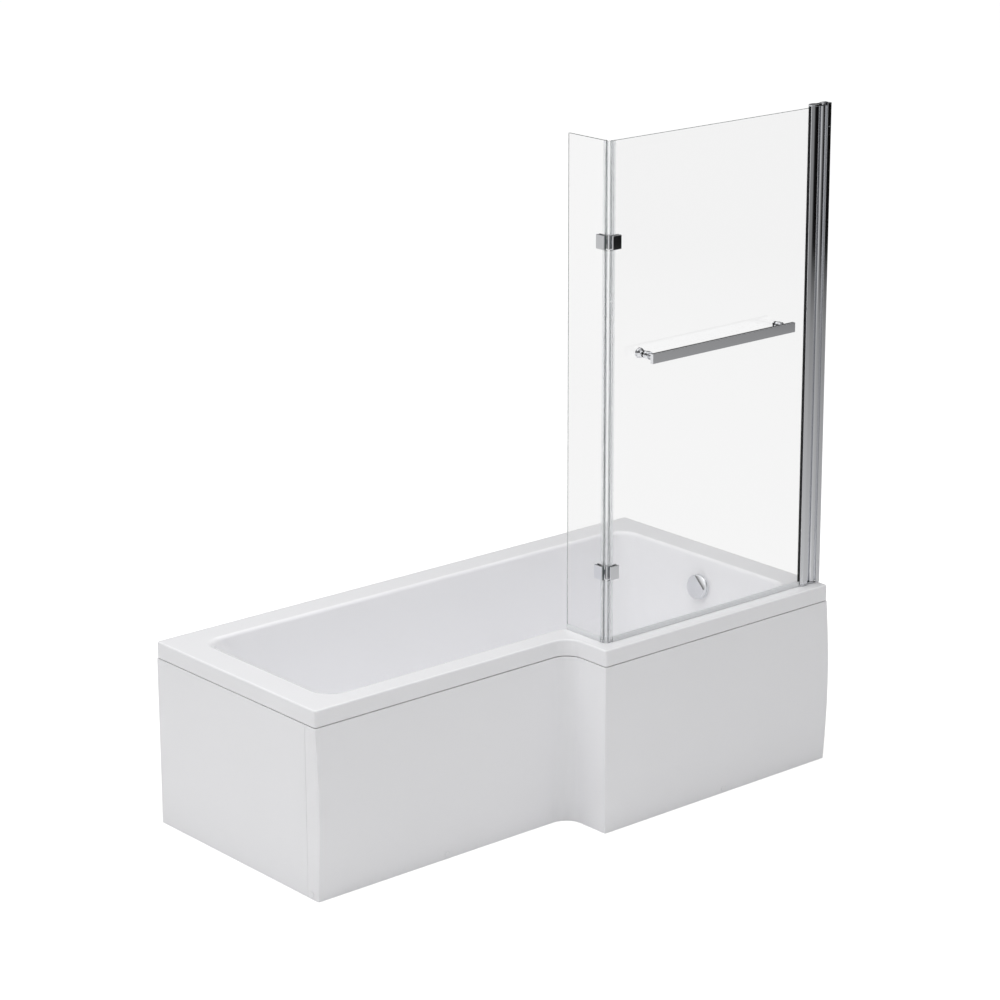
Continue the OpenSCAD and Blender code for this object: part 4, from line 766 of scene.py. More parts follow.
class SHOWERBATH_OT_shell(bpy.types.Operator):
    """Make the acrylic bath: floor, basin, rim and lip outside, fibre backing underneath"""

    bl_idname = "shower_bath.shell"
    bl_label = "Bath shell"

    def execute(self, context):
        plan, finishes = Plan(context.scene), context.scene.shower_bath_finishes
        mouth, foot = plan.mouth_radius, plan.floor_radius
        depths = np.concatenate(
            [
                mouth * (1 - np.cos(quarter(8))),
                np.linspace(mouth + 1, plan.depth - foot - 1, 8),
                plan.depth - foot * (1 - np.sin(quarter(14))),
            ]
        )
        middle = np.array([plan.waste_x, plan.waste_y])

        def basin(out, order):
            """The basin's surface moved outwards and down by a distance, row by row."""
            return [basin_ring(plan, d, out, plan.top - out - d) for d in order]

        def floor_rows(ring, shares):
            """The floor between the waste hole and its edge: a ring at each share of the way out."""
            spoke = ring[:, :2] - middle
            hole = middle + plan.waste_hole * spoke / np.linalg.norm(spoke, axis=1)[:, None]
            return [np.column_stack([hole + (ring[:, :2] - hole) * k, ring[:, 2]]) for k in shares]

        def rim_rows(*places):
            """The rim's outline at each distance in and height."""
            return [rim_ring(plan, d, z) for d, z in places]

        top, lip_z, r, skin, backed = plan.top, plan.lip_z, plan.edge_radius, plan.skin, plan.backed
        inside, under = basin(0, depths[::-1]), basin(skin, depths)
        q = quarter(7)
        edge = rim_rows(*zip(r * (1 - np.sin(q)), top - r * (1 - np.cos(q))))
        soft = rim_rows(*zip(SOFT * (1 - np.cos(q[::2])), lip_z + SOFT * (1 - np.sin(q[::2]))))
        lip = rim_rows((skin, lip_z), (skin, top - skin))
        rings = floor_rows(inside[0], (0, 0.1, 0.5, 0.95)) + inside + edge + soft + lip + under
        rings += floor_rows(under[-1], (0.95, 0.5, 0))
        skin_shape = stack(rings, close_rows=True)
        piece("bath_shell_skin", skin_shape, "bath", ["bath_shell"], acrylic(finishes))

        near = skin + CLEAR
        over, back = basin(near, depths[::-1]), basin(backed, depths)
        hem = lip_z + 0.2
        lip = rim_rows((near, top - near), (near, hem), (backed - 0.5, hem), (backed, hem + 1))
        lip += rim_rows((backed, top - backed))
        rings = floor_rows(over[0], (0, 0.5)) + over + lip + back + floor_rows(back[-1], (0.5, 0))
        backing = stack(rings, close_rows=True)
        piece("bath_fibre_backing", backing, "bath", ["fibre_mats"], fibre_back(finishes))
        return {"FINISHED"}


class SHOWERBATH_OT_panels(bpy.types.Operator):
    """Make the bowed front panel, the flat end panel and the caps over their screws"""

    bl_idname = "shower_bath.panels"
    bl_label = "Panels"

    def execute(self, context):
        plan, finishes = Plan(context.scene), context.scene.shower_bath_finishes
        sheet = acrylic(finishes)
        step, narrow, wide, r = plan.step_place, -plan.narrow_width, -plan.wide_width, plan.step_radius
        # Radius of a folded corner, and how far from it the bow has turned wholly to one side
        fold, away = 2, 20
        soft, hollow = quarter(6), quarter(25)[::-1]
        arc_in = np.column_stack([np.cos(hollow), np.sin(hollow)])
        nose = fold * np.column_stack([1 - np.cos(soft), 1 - np.sin(soft)])
        tail = fold * np.column_stack([np.sin(soft) - 1, 1 - np.cos(soft)])
        stations = [
            panel_stations([(0, narrow + plan.wrap), (0, narrow + away)], (1, 0), (0, 0)),
            panel_stations(nose + [0, narrow], (1, 1), (0, -1)),
            panel_stations([(away, narrow)], (0, 1), (0, -1)),
            panel_stations(arc_in * r + [step - r, narrow - r], arc_in, -arc_in),
            panel_stations([(step, wide + away)], (1, 0), (-1, 0)),
            panel_stations(nose + [step, wide], (1, 1), (-1, -1)),
            panel_stations([(step + away, wide), (plan.length - away, wide)], (0, 1), (0, -1)),
            panel_stations(tail + [plan.length, wide], (-1, 1), (0, -1)),
            panel_stations([(plan.length, wide + plan.panel_return)], (-1, 0), (0, 0)),
        ]
        rings = carried(plan, panel_section(plan, 40), np.concatenate(stations))
        piece("front_panel_sheet", stack(rings), "bath", ["front_panel"], sheet)

        ends = panel_stations([(0, narrow + plan.wrap + 1), (0, -1)], (1, 0), (0, 0))
        flat = stack(carried(plan, panel_section(plan, 3), ends))
        piece("end_panel_sheet", flat, "bath", ["end_panel"], sheet)

        r, z = plan.screw_cap, plan.screw_height
        crown = [(0, 2.8), (r - 1.4, 2.6), (r, 1.0), (r, CLEAR), (0, CLEAR)]
        dome, faces = lathe(eased(crown, 0.3), (0, 0, 0), steps=40)
        across, tall, thick = dome.T
        # The front caps lean back by the slope of the bowed face, about the height of their screws
        lean = math.atan(plan.bow * math.pi / plan.panel_top * math.cos(math.pi * z / plan.panel_top))
        out = thick * math.cos(lean) + tall * math.sin(lean) + float(bowed(plan, z))
        up = tall * math.cos(lean) - thick * math.sin(lean)
        places = ((plan.front_screw, narrow), (plan.step_screw, wide))
        caps = [(np.column_stack([across + x, y - out, up + z]), faces) for x, y in places]
        caps.append((np.column_stack([-thick, across + narrow + plan.wrap_screw, tall + z]), faces))
        piece("panel_screw_cap_domes", joined(*caps), "bath", ["panel_screw_caps"], sheet)
        return {"FINISHED"}


class SHOWERBATH_OT_overflow(bpy.types.Operator):
    """Make the overflow's chrome plate and its turning knob with the slanting finger cut"""

    bl_idname = "shower_bath.overflow"
    bl_label = "Overflow control"

    def execute(self, context):
        plan, finishes = Plan(context.scene), context.scene.shower_bath_finishes
        chrome = plated(finishes)
        lean = math.atan(plan.side_run / plan.depth)
        wall_x = plan.length - plan.rim_tap - plan.side_run * plan.overflow_drop / plan.depth
        centre = np.array([wall_x, plan.waste_y, plan.top - plan.overflow_drop])
        # The control's own side, up and out: it stands square on the leaning wall
        x, z = math.sin(lean), math.cos(lean)
        axes = np.array([[0, -1, 0], [x, 0, z], [-z, 0, x]])

        def stand(shape):
            """Local side, up and out to the corner frame."""
            return shape[0] @ axes + centre, shape[1]

        # The plate: a shallow dish turned over, with a bore for the spindle
        r, wall, bore, face = plan.plate, 4, 4.05, 7.3
        inner = face - 3
        profile = [(bore, face), (r, face), (r, CLEAR), (r - wall, CLEAR), (r - wall, inner), (bore, inner)]
        plate = lathe(eased(profile, 0.9, closed=True), (0, 0, 0), steps=96, closed=True)
        piece("overflow_plate_turned", stand(plate), "bath", ["overflow_plate"], chrome)

        # The knob: a disc with its rim rounded by a quarter circle, whose face falls away past a chord by a
        # straight slope plus a square term
        low, r, spindle, end = face + 0.5, plan.knob, 4, -12.0
        high = low + plan.knob_depth
        chord_turn, chord, slope, curve = math.radians(50), 20.5, math.tan(math.radians(24)), 0.018
        rows, around = 26, 180
        q, rim = np.linspace(0, 2 * np.pi, around, endpoint=False), quarter(4)[1:]
        rho = np.concatenate([np.linspace(0, 1, rows) ** 0.8 * (r - SOFT), r - SOFT + SOFT * np.sin(rim)])
        drop = np.concatenate([np.zeros(rows), SOFT * (1 - np.cos(rim))])
        u, v = rho[:, None] * np.cos(q), rho[:, None] * np.sin(q)
        slant = np.maximum(0, u * math.cos(chord_turn) + v * math.sin(chord_turn) - chord)
        rings = np.stack([u, v, high - drop[:, None] - slope * slant - curve * slant**2], -1)
        profile = [(r, low + 0.6), (r - 0.6, low), (spindle, low), (spindle, end), (0, end)]
        foot = lathe(profile, (0, 0, 0), steps=around)[0].reshape(len(profile), around, 3)
        knob = stand(stack(np.concatenate([rings, foot]), caps=False))
        piece("overflow_knob_turned", knob, "knob", ["overflow_knob"], chrome, sharp=12)
        return {"FINISHED"}


class SHOWERBATH_OT_waste(bpy.types.Operator):
    """Make the waste's flange and its pop-up plug"""

    bl_idname = "shower_bath.waste"
    bl_label = "Waste"

    def execute(self, context):
        plan, finishes = Plan(context.scene), context.scene.shower_bath_finishes
        chrome, centre = plated(finishes), (plan.waste_x, plan.waste_y, 0)
        z, p, out = plan.floor_z, plan.plug, plan.flange
        seat, hole, bore = p + 0.6, plan.waste_hole - 0.3, p - 4.5
        ledge, end = z - 7, plan.under_z - 10
        ring = [(seat, z + 3.3), (out - 3, z + 3.0), (out, z + CLEAR), (hole, z + CLEAR)]
        ring += [(hole, end), (bore, end), (bore, ledge), (seat, ledge)]
        flange = lathe(eased(ring, 0.5, closed=True), centre, steps=96, closed=True)
        piece("waste_flange_turned", flange, "bath", ["waste_flange"], chrome)
        top, stem = z + 6, 4
        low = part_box("pop_up_plug")[0].z * 1000
        plug = [(0, top), (p - 3, top - 0.6), (p, top - 2.4), (p, ledge + 3), (p - 6, ledge + 3)]
        plug += [(p - 6, ledge - 1), (stem, ledge - 1), (stem, low), (0, low)]
        turned_plug = lathe(eased(plug, 0.5), centre, steps=96)
        piece("pop_up_plug_turned", turned_plug, "plug", ["pop_up_plug"], chrome)
        return {"FINISHED"}


def glass_profile_corners(plan):
    """Section of the profile that grips the glass, with its slot: corners and their radii."""
    x0, x1, h = plan.profile_x0, plan.profile_x1, plan.profile_depth / 2
    slot, deep = plan.glass / 2 + 1.1, plan.glass_bite + 1
    front = [(x0, 6 - h), (x0 + 9, -h), (x1 - 10.5, -h), (x1, 7 - h)]
    back = [(x, -y) for x, y in front[::-1]]
    cut = [(x0, slot), (x0 + deep, slot), (x0 + deep, -slot), (x0, -slot)]
    corners = np.array(front + back + cut) + [0, plan.main_y]
    return corners, [2.5, 9, 7, 2, 2, 7, 9, 2.5, 0.5, 0.3, 0.3, 0.5]


class SHOWERBATH_OT_profiles(bpy.types.Operator):
    """Make the wall channel, the pivot post, the glass profile and its two caps"""

    bl_idname = "shower_bath.profiles"
    bl_label = "Profiles"

    def execute(self, context):
        plan, finishes = Plan(context.scene), context.scene.shower_bath_finishes
        metal, chrome = extruded(finishes), plated(finishes)
        h, y, wall = plan.profile_depth / 2, plan.main_y, 2.0
        px, r = plan.post_x, plan.post_radius
        x0, x1, inside = px + r + 0.5, plan.length, h - wall
        channel = [(x0, -h), (x1, -h), (x1, h), (x0, h), (x0, inside), (x1 - wall, inside)]
        channel += [(x1 - wall, -inside), (x0, -inside)]
        radii = [0.9, 0.6, 0.6, 0.9, 0.9, 0.5, 0.5, 0.9]
        bar = prism(np.array(channel) + [0, y], radii, plan.top + CLEAR, plan.cap_top, edge=0.3)
        piece("wall_profile_channel", bar, "bath", ["wall_profile"], metal)

        # The post: a round bar whose outline runs on through a neck into a square tongue
        neck, tongue, heel, root = 6.5, inside - CLEAR, x1 - wall - 2, px + r - 1
        open_at = math.asin(min(0.98, neck / r))
        q = np.linspace(open_at, 2 * np.pi - open_at, 49)
        ring = np.column_stack([px + r * np.cos(q), r * np.sin(q)])
        back = [(root, -neck), (root, -tongue), (heel, -tongue)]
        outline = np.concatenate([ring, back, np.array(back[::-1]) * [1, -1]]) + [0, y]
        low, high = plan.top + 6.3, plan.profile_top - 2
        post = raised(outline, (low, low + 0.5, high - 0.5, high))
        piece("pivot_post_bar", post, "bath", ["pivot_post"], metal)

        corners, radii = glass_profile_corners(plan)
        low = plan.top + 5
        bar = prism(corners, radii, low, plan.profile_top, edge=0.3, steps=7)
        piece("glass_profile_bar", bar, "screen", ["glass_profile"], metal)

        # Each cap: a plate on the profile's end, a bridge to the pivot and a knuckle with its pin
        pin, under, over = 4, 18, 19
        ends = {
            "top": (plan.profile_top + CLEAR, plan.cap_top),
            "bottom": (low - CLEAR - plan.cap, low - CLEAR),
        }
        for name, (z, top) in ends.items():
            plate = prism(corners[:8], radii[:8], z, top, edge=0.7)
            bridge = prism(oblong(plan.profile_x1 - 5, px, y - 6, y + 6), 0.4, z, top, edge=0.3)
            if name == "top":
                boss = top + plan.boss
                knuckle = [(0, boss), (r - 4, boss), (r - 4, top), (r, top), (r, z), (pin, z)]
                knuckle += [(pin, z - under), (0, z - under)]
            else:
                knuckle = [(0, z + over), (pin, z + over), (pin, top), (r, top), (r, z), (0, z)]
            cap = joined(plate, bridge, lathe(eased(knuckle, 0.6), (px, y, 0)))
            piece(f"profile_{name}_cap_cast", cap, "screen", [f"profile_{name}_cap"], chrome)
        return {"FINISHED"}


class SHOWERBATH_OT_panes(bpy.types.Operator):
    """Make the main pane and the return pane with their polished edges"""

    bl_idname = "shower_bath.panes"
    bl_label = "Glass panes"

    def execute(self, context):
        plan, finishes = Plan(context.scene), context.scene.shower_bath_finishes
        clear, ground = clear_glass(finishes), ground_edge(finishes)
        t, low, high = plan.glass / 2, plan.glass_z, plan.glass_top

        def edged(made, across):
            """Gives the faces that look along the pane, and not across it, the ground edge's finish."""
            faces = made.data.polygons
            normals = np.empty(len(faces) * 3)
            faces.foreach_get("normal", normals)
            made.data.materials.append(ground)
            faces.foreach_set("material_index", (np.abs(normals[across::3]) < 0.35).astype(np.int32))

        flat = oblong(plan.glass_x0, plan.glass_x1, low, high)
        main = upright(prism(flat, 1.0, -plan.main_y - t, -plan.main_y + t, edge=0.8, steps=3))
        edged(piece("main_glass_pane", main, "screen", ["main_glass"], clear), 1)
        flat = oblong(plan.return_y0, plan.return_y1, low, high)
        side = prism(flat, 1.0, plan.return_x - t, plan.return_x + t, "x", edge=0.8, steps=3)
        edged(piece("return_glass_pane", side, "return_pane", ["return_glass"], clear), 0)
        return {"FINISHED"}


class SHOWERBATH_OT_seals(bpy.types.Operator):
    """Make the bottom seals and the upright corner seals"""

    bl_idname = "shower_bath.seals"
    bl_label = "Seals"

    def execute(self, context):
        plan, finishes = Plan(context.scene), context.scene.shower_bath_finishes
        soft, milky = clear_seal(finishes), milky_seal(finishes)
        # Half widths of a seal outside and at the glass, and the bottom seals' height and foot
        w, g, h, up = plan.half_seal, plan.seal_slot, plan.seal_height, plan.glass_z - plan.seal_z - 0.1
        past_hinge = 12
        # Channel on the glass over a hollow foot
        shape = np.array([(-w, 0), (w, 0), (w, h), (g, h), (g, up), (-g, up), (-g, h), (-w, h)])
        radii = [1.2, 1.2, 0.5, 0.4, 0.3, 0.3, 0.4, 0.5]
        place = shape + [plan.main_y, plan.seal_z]
        main = prism(place, radii, plan.pin_x + past_hinge, plan.profile_x0 - 1, "x", edge=0.3)
        piece("main_bottom_seal_strip", main, "screen", ["main_bottom_seal"], milky)
        points, faces = prism(shape, radii, plan.pin_y + past_hinge, plan.return_y1, edge=0.3)
        side = points[:, [0, 2, 1]] + [plan.return_x, 0, plan.seal_z], faces
        piece("return_bottom_seal_strip", side, "return_pane", ["return_bottom_seal"], milky)

        half = plan.leaf_height / 2 + 1
        low, high = plan.hinges
        spans = ((plan.seal_z, low - half), (low + half, high - half), (high + half, plan.glass_top))
        # Upright channels: a block at the corner that grips the pane's edge by its two lips
        grip, edge_at = 10, plan.corner_gap - plan.hinge_in - 0.1
        half_block = np.array([(-2.5, -w), (grip, -w), (grip, -g), (edge_at, -g)])
        block = np.concatenate([half_block, half_block[::-1] * [1, -1]]) + [plan.pin_x, plan.main_y]
        radii = [1.0, 0.4, 0.3, 0.2, 0.2, 0.3, 0.4, 1.0]
        mains = [prism(block, radii, a, b, edge=0.3) for a, b in spans]
        # The lip: an arc of soft strip about the hinge pin that laps the other pane's seal
        r, q = plan.hinge_in + w, np.radians(np.linspace(*LIP_ARC, 15))
        way = np.column_stack([np.cos(q), np.sin(q)])
        arc = np.concatenate([r * way, (r - SOFT) * way[::-1]]) + [plan.pin_x, plan.pin_y]
        main = joined(*mains, *(raised(arc, span) for span in spans))
        piece("main_corner_seal_strip", main, "screen", ["main_corner_seal"], soft)
        half_block = np.array([(w, -0.5), (w, grip), (g, grip), (g, edge_at)])
        block = np.concatenate([half_block[:1] * [-1, 1], half_block, half_block[:0:-1] * [-1, 1]])
        block, radii = block + [plan.return_x, plan.pin_y], [1, 1, 0.4, 0.3, 0.2, 0.2, 0.3, 0.4]
        side = joined(*(prism(block, radii, a, b, edge=0.3) for a, b in spans))
        piece("return_corner_seal_strip", side, "return_pane", ["return_corner_seal"], soft)
        return {"FINISHED"}


class SHOWERBATH_OT_hinges(bpy.types.Operator):
    """Make the glass-to-glass hinges: leaves, knuckles and pins"""

    bl_idname = "shower_bath.hinges"
    bl_label = "Hinges"

    def execute(self, context):
        plan, finishes = Plan(context.scene), context.scene.shower_bath_finishes
        chrome, zinc = plated(finishes), zinc_plate(finishes)
        half, width, out = plan.leaf_height / 2, plan.leaf_width, plan.glass / 2 + 1
        inner, barrel, bore, pin, k = plan.hinge_in - 1 - out, 5.0, 2.55, 2.5, plan.leaf_height / 6
        low, high = -out - inner, -out

        def leaf(start, spans):
            """A leaf along U, its pane on V = 0: two plates, and a knuckle with its arm at each span."""
            plates = [
                prism(oblong(start, start + width, -half, half), 1.0, out, out + plan.leaf, edge=1.0),
                prism(oblong(start + 5.6, start + width, -half, half), 0.8, low, high, edge=0.6),
            ]
            drums = []
            for a, b in spans:
                plates.append(prism(oblong(3.4, 7.5, a, b), 0.3, low, high, edge=0.2))
                drum = eased([(bore, a), (barrel, a), (barrel, b), (bore, b)], 0.4, closed=True)
                drums.append(lathe(drum, (0, plan.hinge_in, 0), closed=True, steps=48))
            return joined(*map(upright, plates), *drums)

        points, faces = leaf(-2.0, [(-half, -k), (k, half)])
        main = joined(*((points + [plan.pin_x, plan.main_y, z], faces) for z in plan.hinges))
        piece("main_hinge_leaf_plates", main, "screen", ["main_hinge_leaves"], chrome)
        points, faces = leaf(1.0, [(CLEAR - k, k - CLEAR)])
        points = points[:, [1, 0, 2]] + [plan.return_x, plan.pin_y, 0]
        side = joined(*((points + [0, 0, z], faces) for z in plan.hinges))
        piece("return_hinge_leaf_plates", side, "return_pane", ["return_hinge_leaves"], chrome)
        tip = half + 0.5
        rod = eased([(0, -tip), (pin, -tip), (pin, tip), (0, tip)], 0.4)
        pins = joined(*(lathe(rod, (plan.pin_x, plan.pin_y, z)) for z in plan.hinges))
        piece("hinge_pin_rods", pins, "screen", ["hinge_pins"], zinc)
        return {"FINISHED"}


class SHOWERBATH_OT_rail(bpy.types.Operator):
    """Make the towel bar, its two posts, the pull knob and the flat disc"""

    bl_idname = "shower_bath.rail"
    bl_label = "Towel rail"

    def execute(self, context):
        plan, finishes = Plan(context.scene), context.scene.shower_bath_finishes
        chrome, z, h = plated(finishes), plan.rail_z, plan.bar_height / 2
        back, face = plan.main_y - plan.glass / 2 - plan.rail_gap, plan.main_y + plan.glass / 2 + 1
        xs = (plan.rail_x, plan.rail_x + plan.rail_posts)
        middle, half = sum(xs) / 2, plan.rail_length / 2
        flat = oblong(back - plan.bar, back, z - h, z + h)
        bar = prism(flat, 1.2, middle - half, middle + half, "x", edge=0.8)
        piece("towel_bar_flat", bar, "screen", ["towel_bar"], chrome)
        # Post, pull knob and disc as radius and distance, each turned about an axis square to the glass
        reach = plan.rail_gap - 1.6
        post = [(0, 0), (8.5, 0), (8.5, 6), (6.5, 7.5), (6.5, reach - 19), (11, reach - 19)]
        post += [(11, reach - 7), (8.5, reach - 6), (8.5, reach - 5), (10, reach - 5)]
        post += [(10, reach), (0, reach)]
        posts = [lathe(eased(post, 0.7), (x, back + CLEAR, z), "y") for x in xs]
        piece("rail_post_pair", joined(*posts), "screen", ["rail_posts"], chrome)
        n, far = plan.pull_radius, plan.pull_length
        bolt = [(0, -17), (4, -17), (4, 0), (n - 5, 0)]
        pull = [(n - 5, 3), (n - 7, 5), (n - 7, far - 12), (n - 1, far - 8)]
        pull += [(n, far - 6), (n, far - 1), (0, far)]
        disc = [(n - 5, 3.2), (n - 6, 4), (0, 4)]
        knobs = [lathe(eased(bolt + form, 0.7), (x, face, z), "y") for form, x in zip((pull, disc), xs)]
        piece("rail_knob_pair", joined(*knobs), "screen", ["rail_knobs"], chrome)
        return {"FINISHED"}


class SHOWERBATH_OT_feet(bpy.types.Operator):
    """Make the five feet with their threaded studs"""

    bl_idname = "shower_bath.feet"
    bl_label = "Feet"

    def execute(self, context):
        plan, finishes = Plan(context.scene), context.scene.shower_bath_finishes
        zinc, pad, tall, r = zinc_plate(finishes), plan.pad, plan.pad_height, plan.stud
        pitch, thread, row = 1.5, 0.7, 0.3
        form = [(0, 0), (pad, 0), (pad, tall * 0.35), (pad * 0.55, tall * 0.7), (pad * 0.45, tall)]
        q = np.linspace(0, 2 * np.pi, 32, endpoint=False)
        for place in ("head_back", "head_front", "tap_back", "tap_front", "centre"):
            node = place + "_foot"
            low, high = (np.array(c) * 1000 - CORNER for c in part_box(node))
            x, y, _ = (low + high) / 2
            base = lathe(eased([*form, (r, tall)], 1.2), (x, y, 0))
            # The thread: radius is the stud's, less a triangle wave of height over pitch minus turn
            z = np.linspace(tall, high[2], int((high[2] - tall) / row))
            wave = np.abs(((z[:, None] / pitch - q[None, :] / (2 * np.pi)) % 1) * 2 - 1)
            out = r - thread * wave
            rings = [x + out * np.cos(q), y + out * np.sin(q), np.broadcast_to(z[:, None], out.shape)]
            foot = joined(base, stack(np.stack(rings, -1)))
            piece(f"{node}_turned", foot, node.replace("_", " "), [node], zinc, sharp=50)
        return {"FINISHED"}


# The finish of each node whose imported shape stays
HIDDEN = {
    chipboard: "base_board",
    pine: "rim_battens floor_battens",
    zinc_plate: "head_cradle tap_cradle centre_bracket cradle_screws leg_nuts wall_hooks panel_clips "
    "panel_screws post_screws main_hinge_screws return_hinge_screws",
    pipe_plastic: "waste_body trap_nut trap_bend overflow_body overflow_hose",
    black_rubber: "waste_washer overflow_washer plug_seal glass_gasket main_hinge_gaskets "
    "return_hinge_gaskets rail_washers",
    moulded_nylon: "plug_cable post_bushes",
}


class SHOWERBATH_OT_underneath(bpy.types.Operator):
    """Give the undercarriage, pipework and hidden fixings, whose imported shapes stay, their finishes"""

    bl_idname = "shower_bath.underneath"
    bl_label = "Undercarriage and pipework"

    def execute(self, context):
        for finish_of, names in HIDDEN.items():
            for name in names.split():
                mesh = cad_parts[name].data
                mesh.materials.clear()
                mesh.materials.append(finish_of(context.scene.shower_bath_finishes))
        return {"FINISHED"}


# The studio, in metres about the model's middle

WHITE = (1, 1, 1, 1)
# Glow that carries the floor's tone to white for the camera, and its tone through the panes
CAMERA_LIFT, BEHIND_GLASS = 0.58, 0.968
# The floor's half width, its height and its points each way
FLOOR_REACH, FLOOR_DROP, FLOOR_POINTS = 30, -0.0006, 41
# The world's strength on matt surfaces, and the tone of the dark band that mirrors see
SKY_LIGHT, BAND_TONE = 0.50, 0.1
# Heights, as the sine of their angle, between which that band runs out into the white ceiling
BAND_EDGES = (0.5, 0.75)
# The card's section as radius and height, its reach, and the power and top tone of its wall
CARD_SECTION = ((1.9, 0.004), (3.4, 0.006), (5.8, 0.01), (6.0, 0.2), (6.0, 1.2), (6.0, 2.4))
CARD_REACH, CARD_FALL, CARD_TONE = 6.0, 2.5, 0.9
# Where its flat part starts and ends with their tones, and the heights over which that tone gives way
CARD_FLAT, CARD_FLAT_TONES, CARD_BEND = (1.9, 5.8), (0.6, 0.3), (0.02, 0.35)
# Name, place, aim, size and watts of each lamp
LAMPS = (
    ("Top softbox", (-0.3, -0.2, 4.8), (0.0, 0.0, 0.4), 3.2, 78.0),
    ("Left softbox", (-1.7, 0.1, 2.5), (0.7, 0.0, 0.3), 1.6, 10.2),
    ("End softbox", (-4.4, 0.5, 1.7), (-0.4, 0.0, 0.5), 2.6, 7.0),
)


@finish("Studio floor paper")
def floor_paper(made, finishes):
    """Seamless paper: matt, with a fine weave, lifted for the camera so that it reads as white."""
    fibre = made.add("TexNoise", {"Vector": made.place, "Scale": 1 / 0.002, "Detail": 2.0})
    made.vary(fibre, (shade(finishes.floor, 0.99), finishes.floor))
    made.feed(made.shader, {"Roughness": 0.95, "Specular IOR Level": 0.1})
    rays = made.add("LightPath").outputs
    lift = made.add("Math", {0: rays["Is Camera Ray"], 1: CAMERA_LIFT}, operation="MULTIPLY")
    glow = made.add("Emission", {"Color": WHITE, "Strength": lift})
    lit = made.add("AddShader", {0: made.shader, 1: glow})
    # Through the glass it reads one even step below white
    behind = made.add("Emission", {"Color": WHITE, "Strength": BEHIND_GLASS})
    made.show(made.add("MixShader", {0: rays["Is Transmission Ray"], 1: lit, 2: behind}))


@finish("Grey studio card")
def grey_card(made, _):
    """A glowing card only mirrors see: black to the right, light grey to the left, mid grey on the flat.

    Its wall's tone falls from -X to +X as a power, and its flat part's from the inner edge outwards. Where
    they meet, the lighter one shows.
    """
    bounds = ("From Min", "From Max", "To Min", "To Max")
    across = dict(zip(bounds, (-CARD_REACH, CARD_REACH, 1, 0)))
    outwards = dict(zip(bounds, (*CARD_FLAT, *CARD_FLAT_TONES)))
    bend = dict(zip(bounds, (*CARD_BEND, 1, 0)))
    axes = made.add("SeparateXYZ", {"Vector": made.place}).outputs
    slope = made.add("MapRange", {"Value": axes["X"], **across})
    side = made.add("Math", {0: slope, 1: CARD_FALL}, operation="POWER")
    wall = made.add("Math", {0: side, 1: CARD_TONE}, operation="MULTIPLY")
    flat = made.add("CombineXYZ", {"X": axes["X"], "Y": axes["Y"]})
    far = made.add("VectorMath", {0: flat}, operation="LENGTH").outputs["Value"]
    near = made.add("MapRange", {"Value": far, **outwards})
    step = made.add("MapRange", {"Value": axes["Z"], **bend})
    sheet = made.add("Math", {0: near, 1: step}, operation="MULTIPLY")
    tone = made.add("Math", {0: wall, 1: sheet}, operation="MAXIMUM")
    made.show(made.add("Emission", {"Color": WHITE, "Strength": tone}))


def studio_sky(world):
    """The world: soft light on matt surfaces, white to the camera and through glass, and to mirrors a white
    ceiling over a dark band that starts above the card."""
    sky = Nodes(world)
    rays = sky.add("LightPath").outputs
    seen = sky.add("Math", {0: rays["Is Camera Ray"], 1: rays["Is Transmission Ray"]}, operation="MAXIMUM")
    level = sky.add("MapRange", {"Value": seen, "To Min": SKY_LIGHT, "To Max": 1.0})
    height = sky.add("SeparateXYZ", {"Vector": sky.add("TexCoord").outputs["Generated"]}).outputs["Z"]
    low, high = BAND_EDGES
    fade = {"Value": height, "From Min": low, "From Max": high, "To Min": BAND_TONE, "To Max": 1.0}
    ceiling = sky.add("MapRange", fade)
    mirrored = sky.add("Math", {0: ceiling, 1: rays["Is Glossy Ray"]}, operation="MULTIPLY")
    direct = sky.add("Math", {0: 1.0, 1: rays["Is Glossy Ray"]}, operation="SUBTRACT")
    strength = sky.add("Math", {0: level, 1: direct, 2: mirrored}, operation="MULTIPLY_ADD")
    sky.add("OutputWorld", {"Surface": sky.add("Background", {"Color": WHITE, "Strength": strength})})


def stage_object(name, points, faces, material):
    """Makes one object of the stage from points in metres."""
    mesh = bpy.data.meshes.new(name)
    mesh.from_pydata(points.tolist(), [], faces)
    mesh.materials.append(material)
    made = bpy.data.objects.new(name, mesh)
    bpy.context.scene.collection.objects.link(made)
    return made


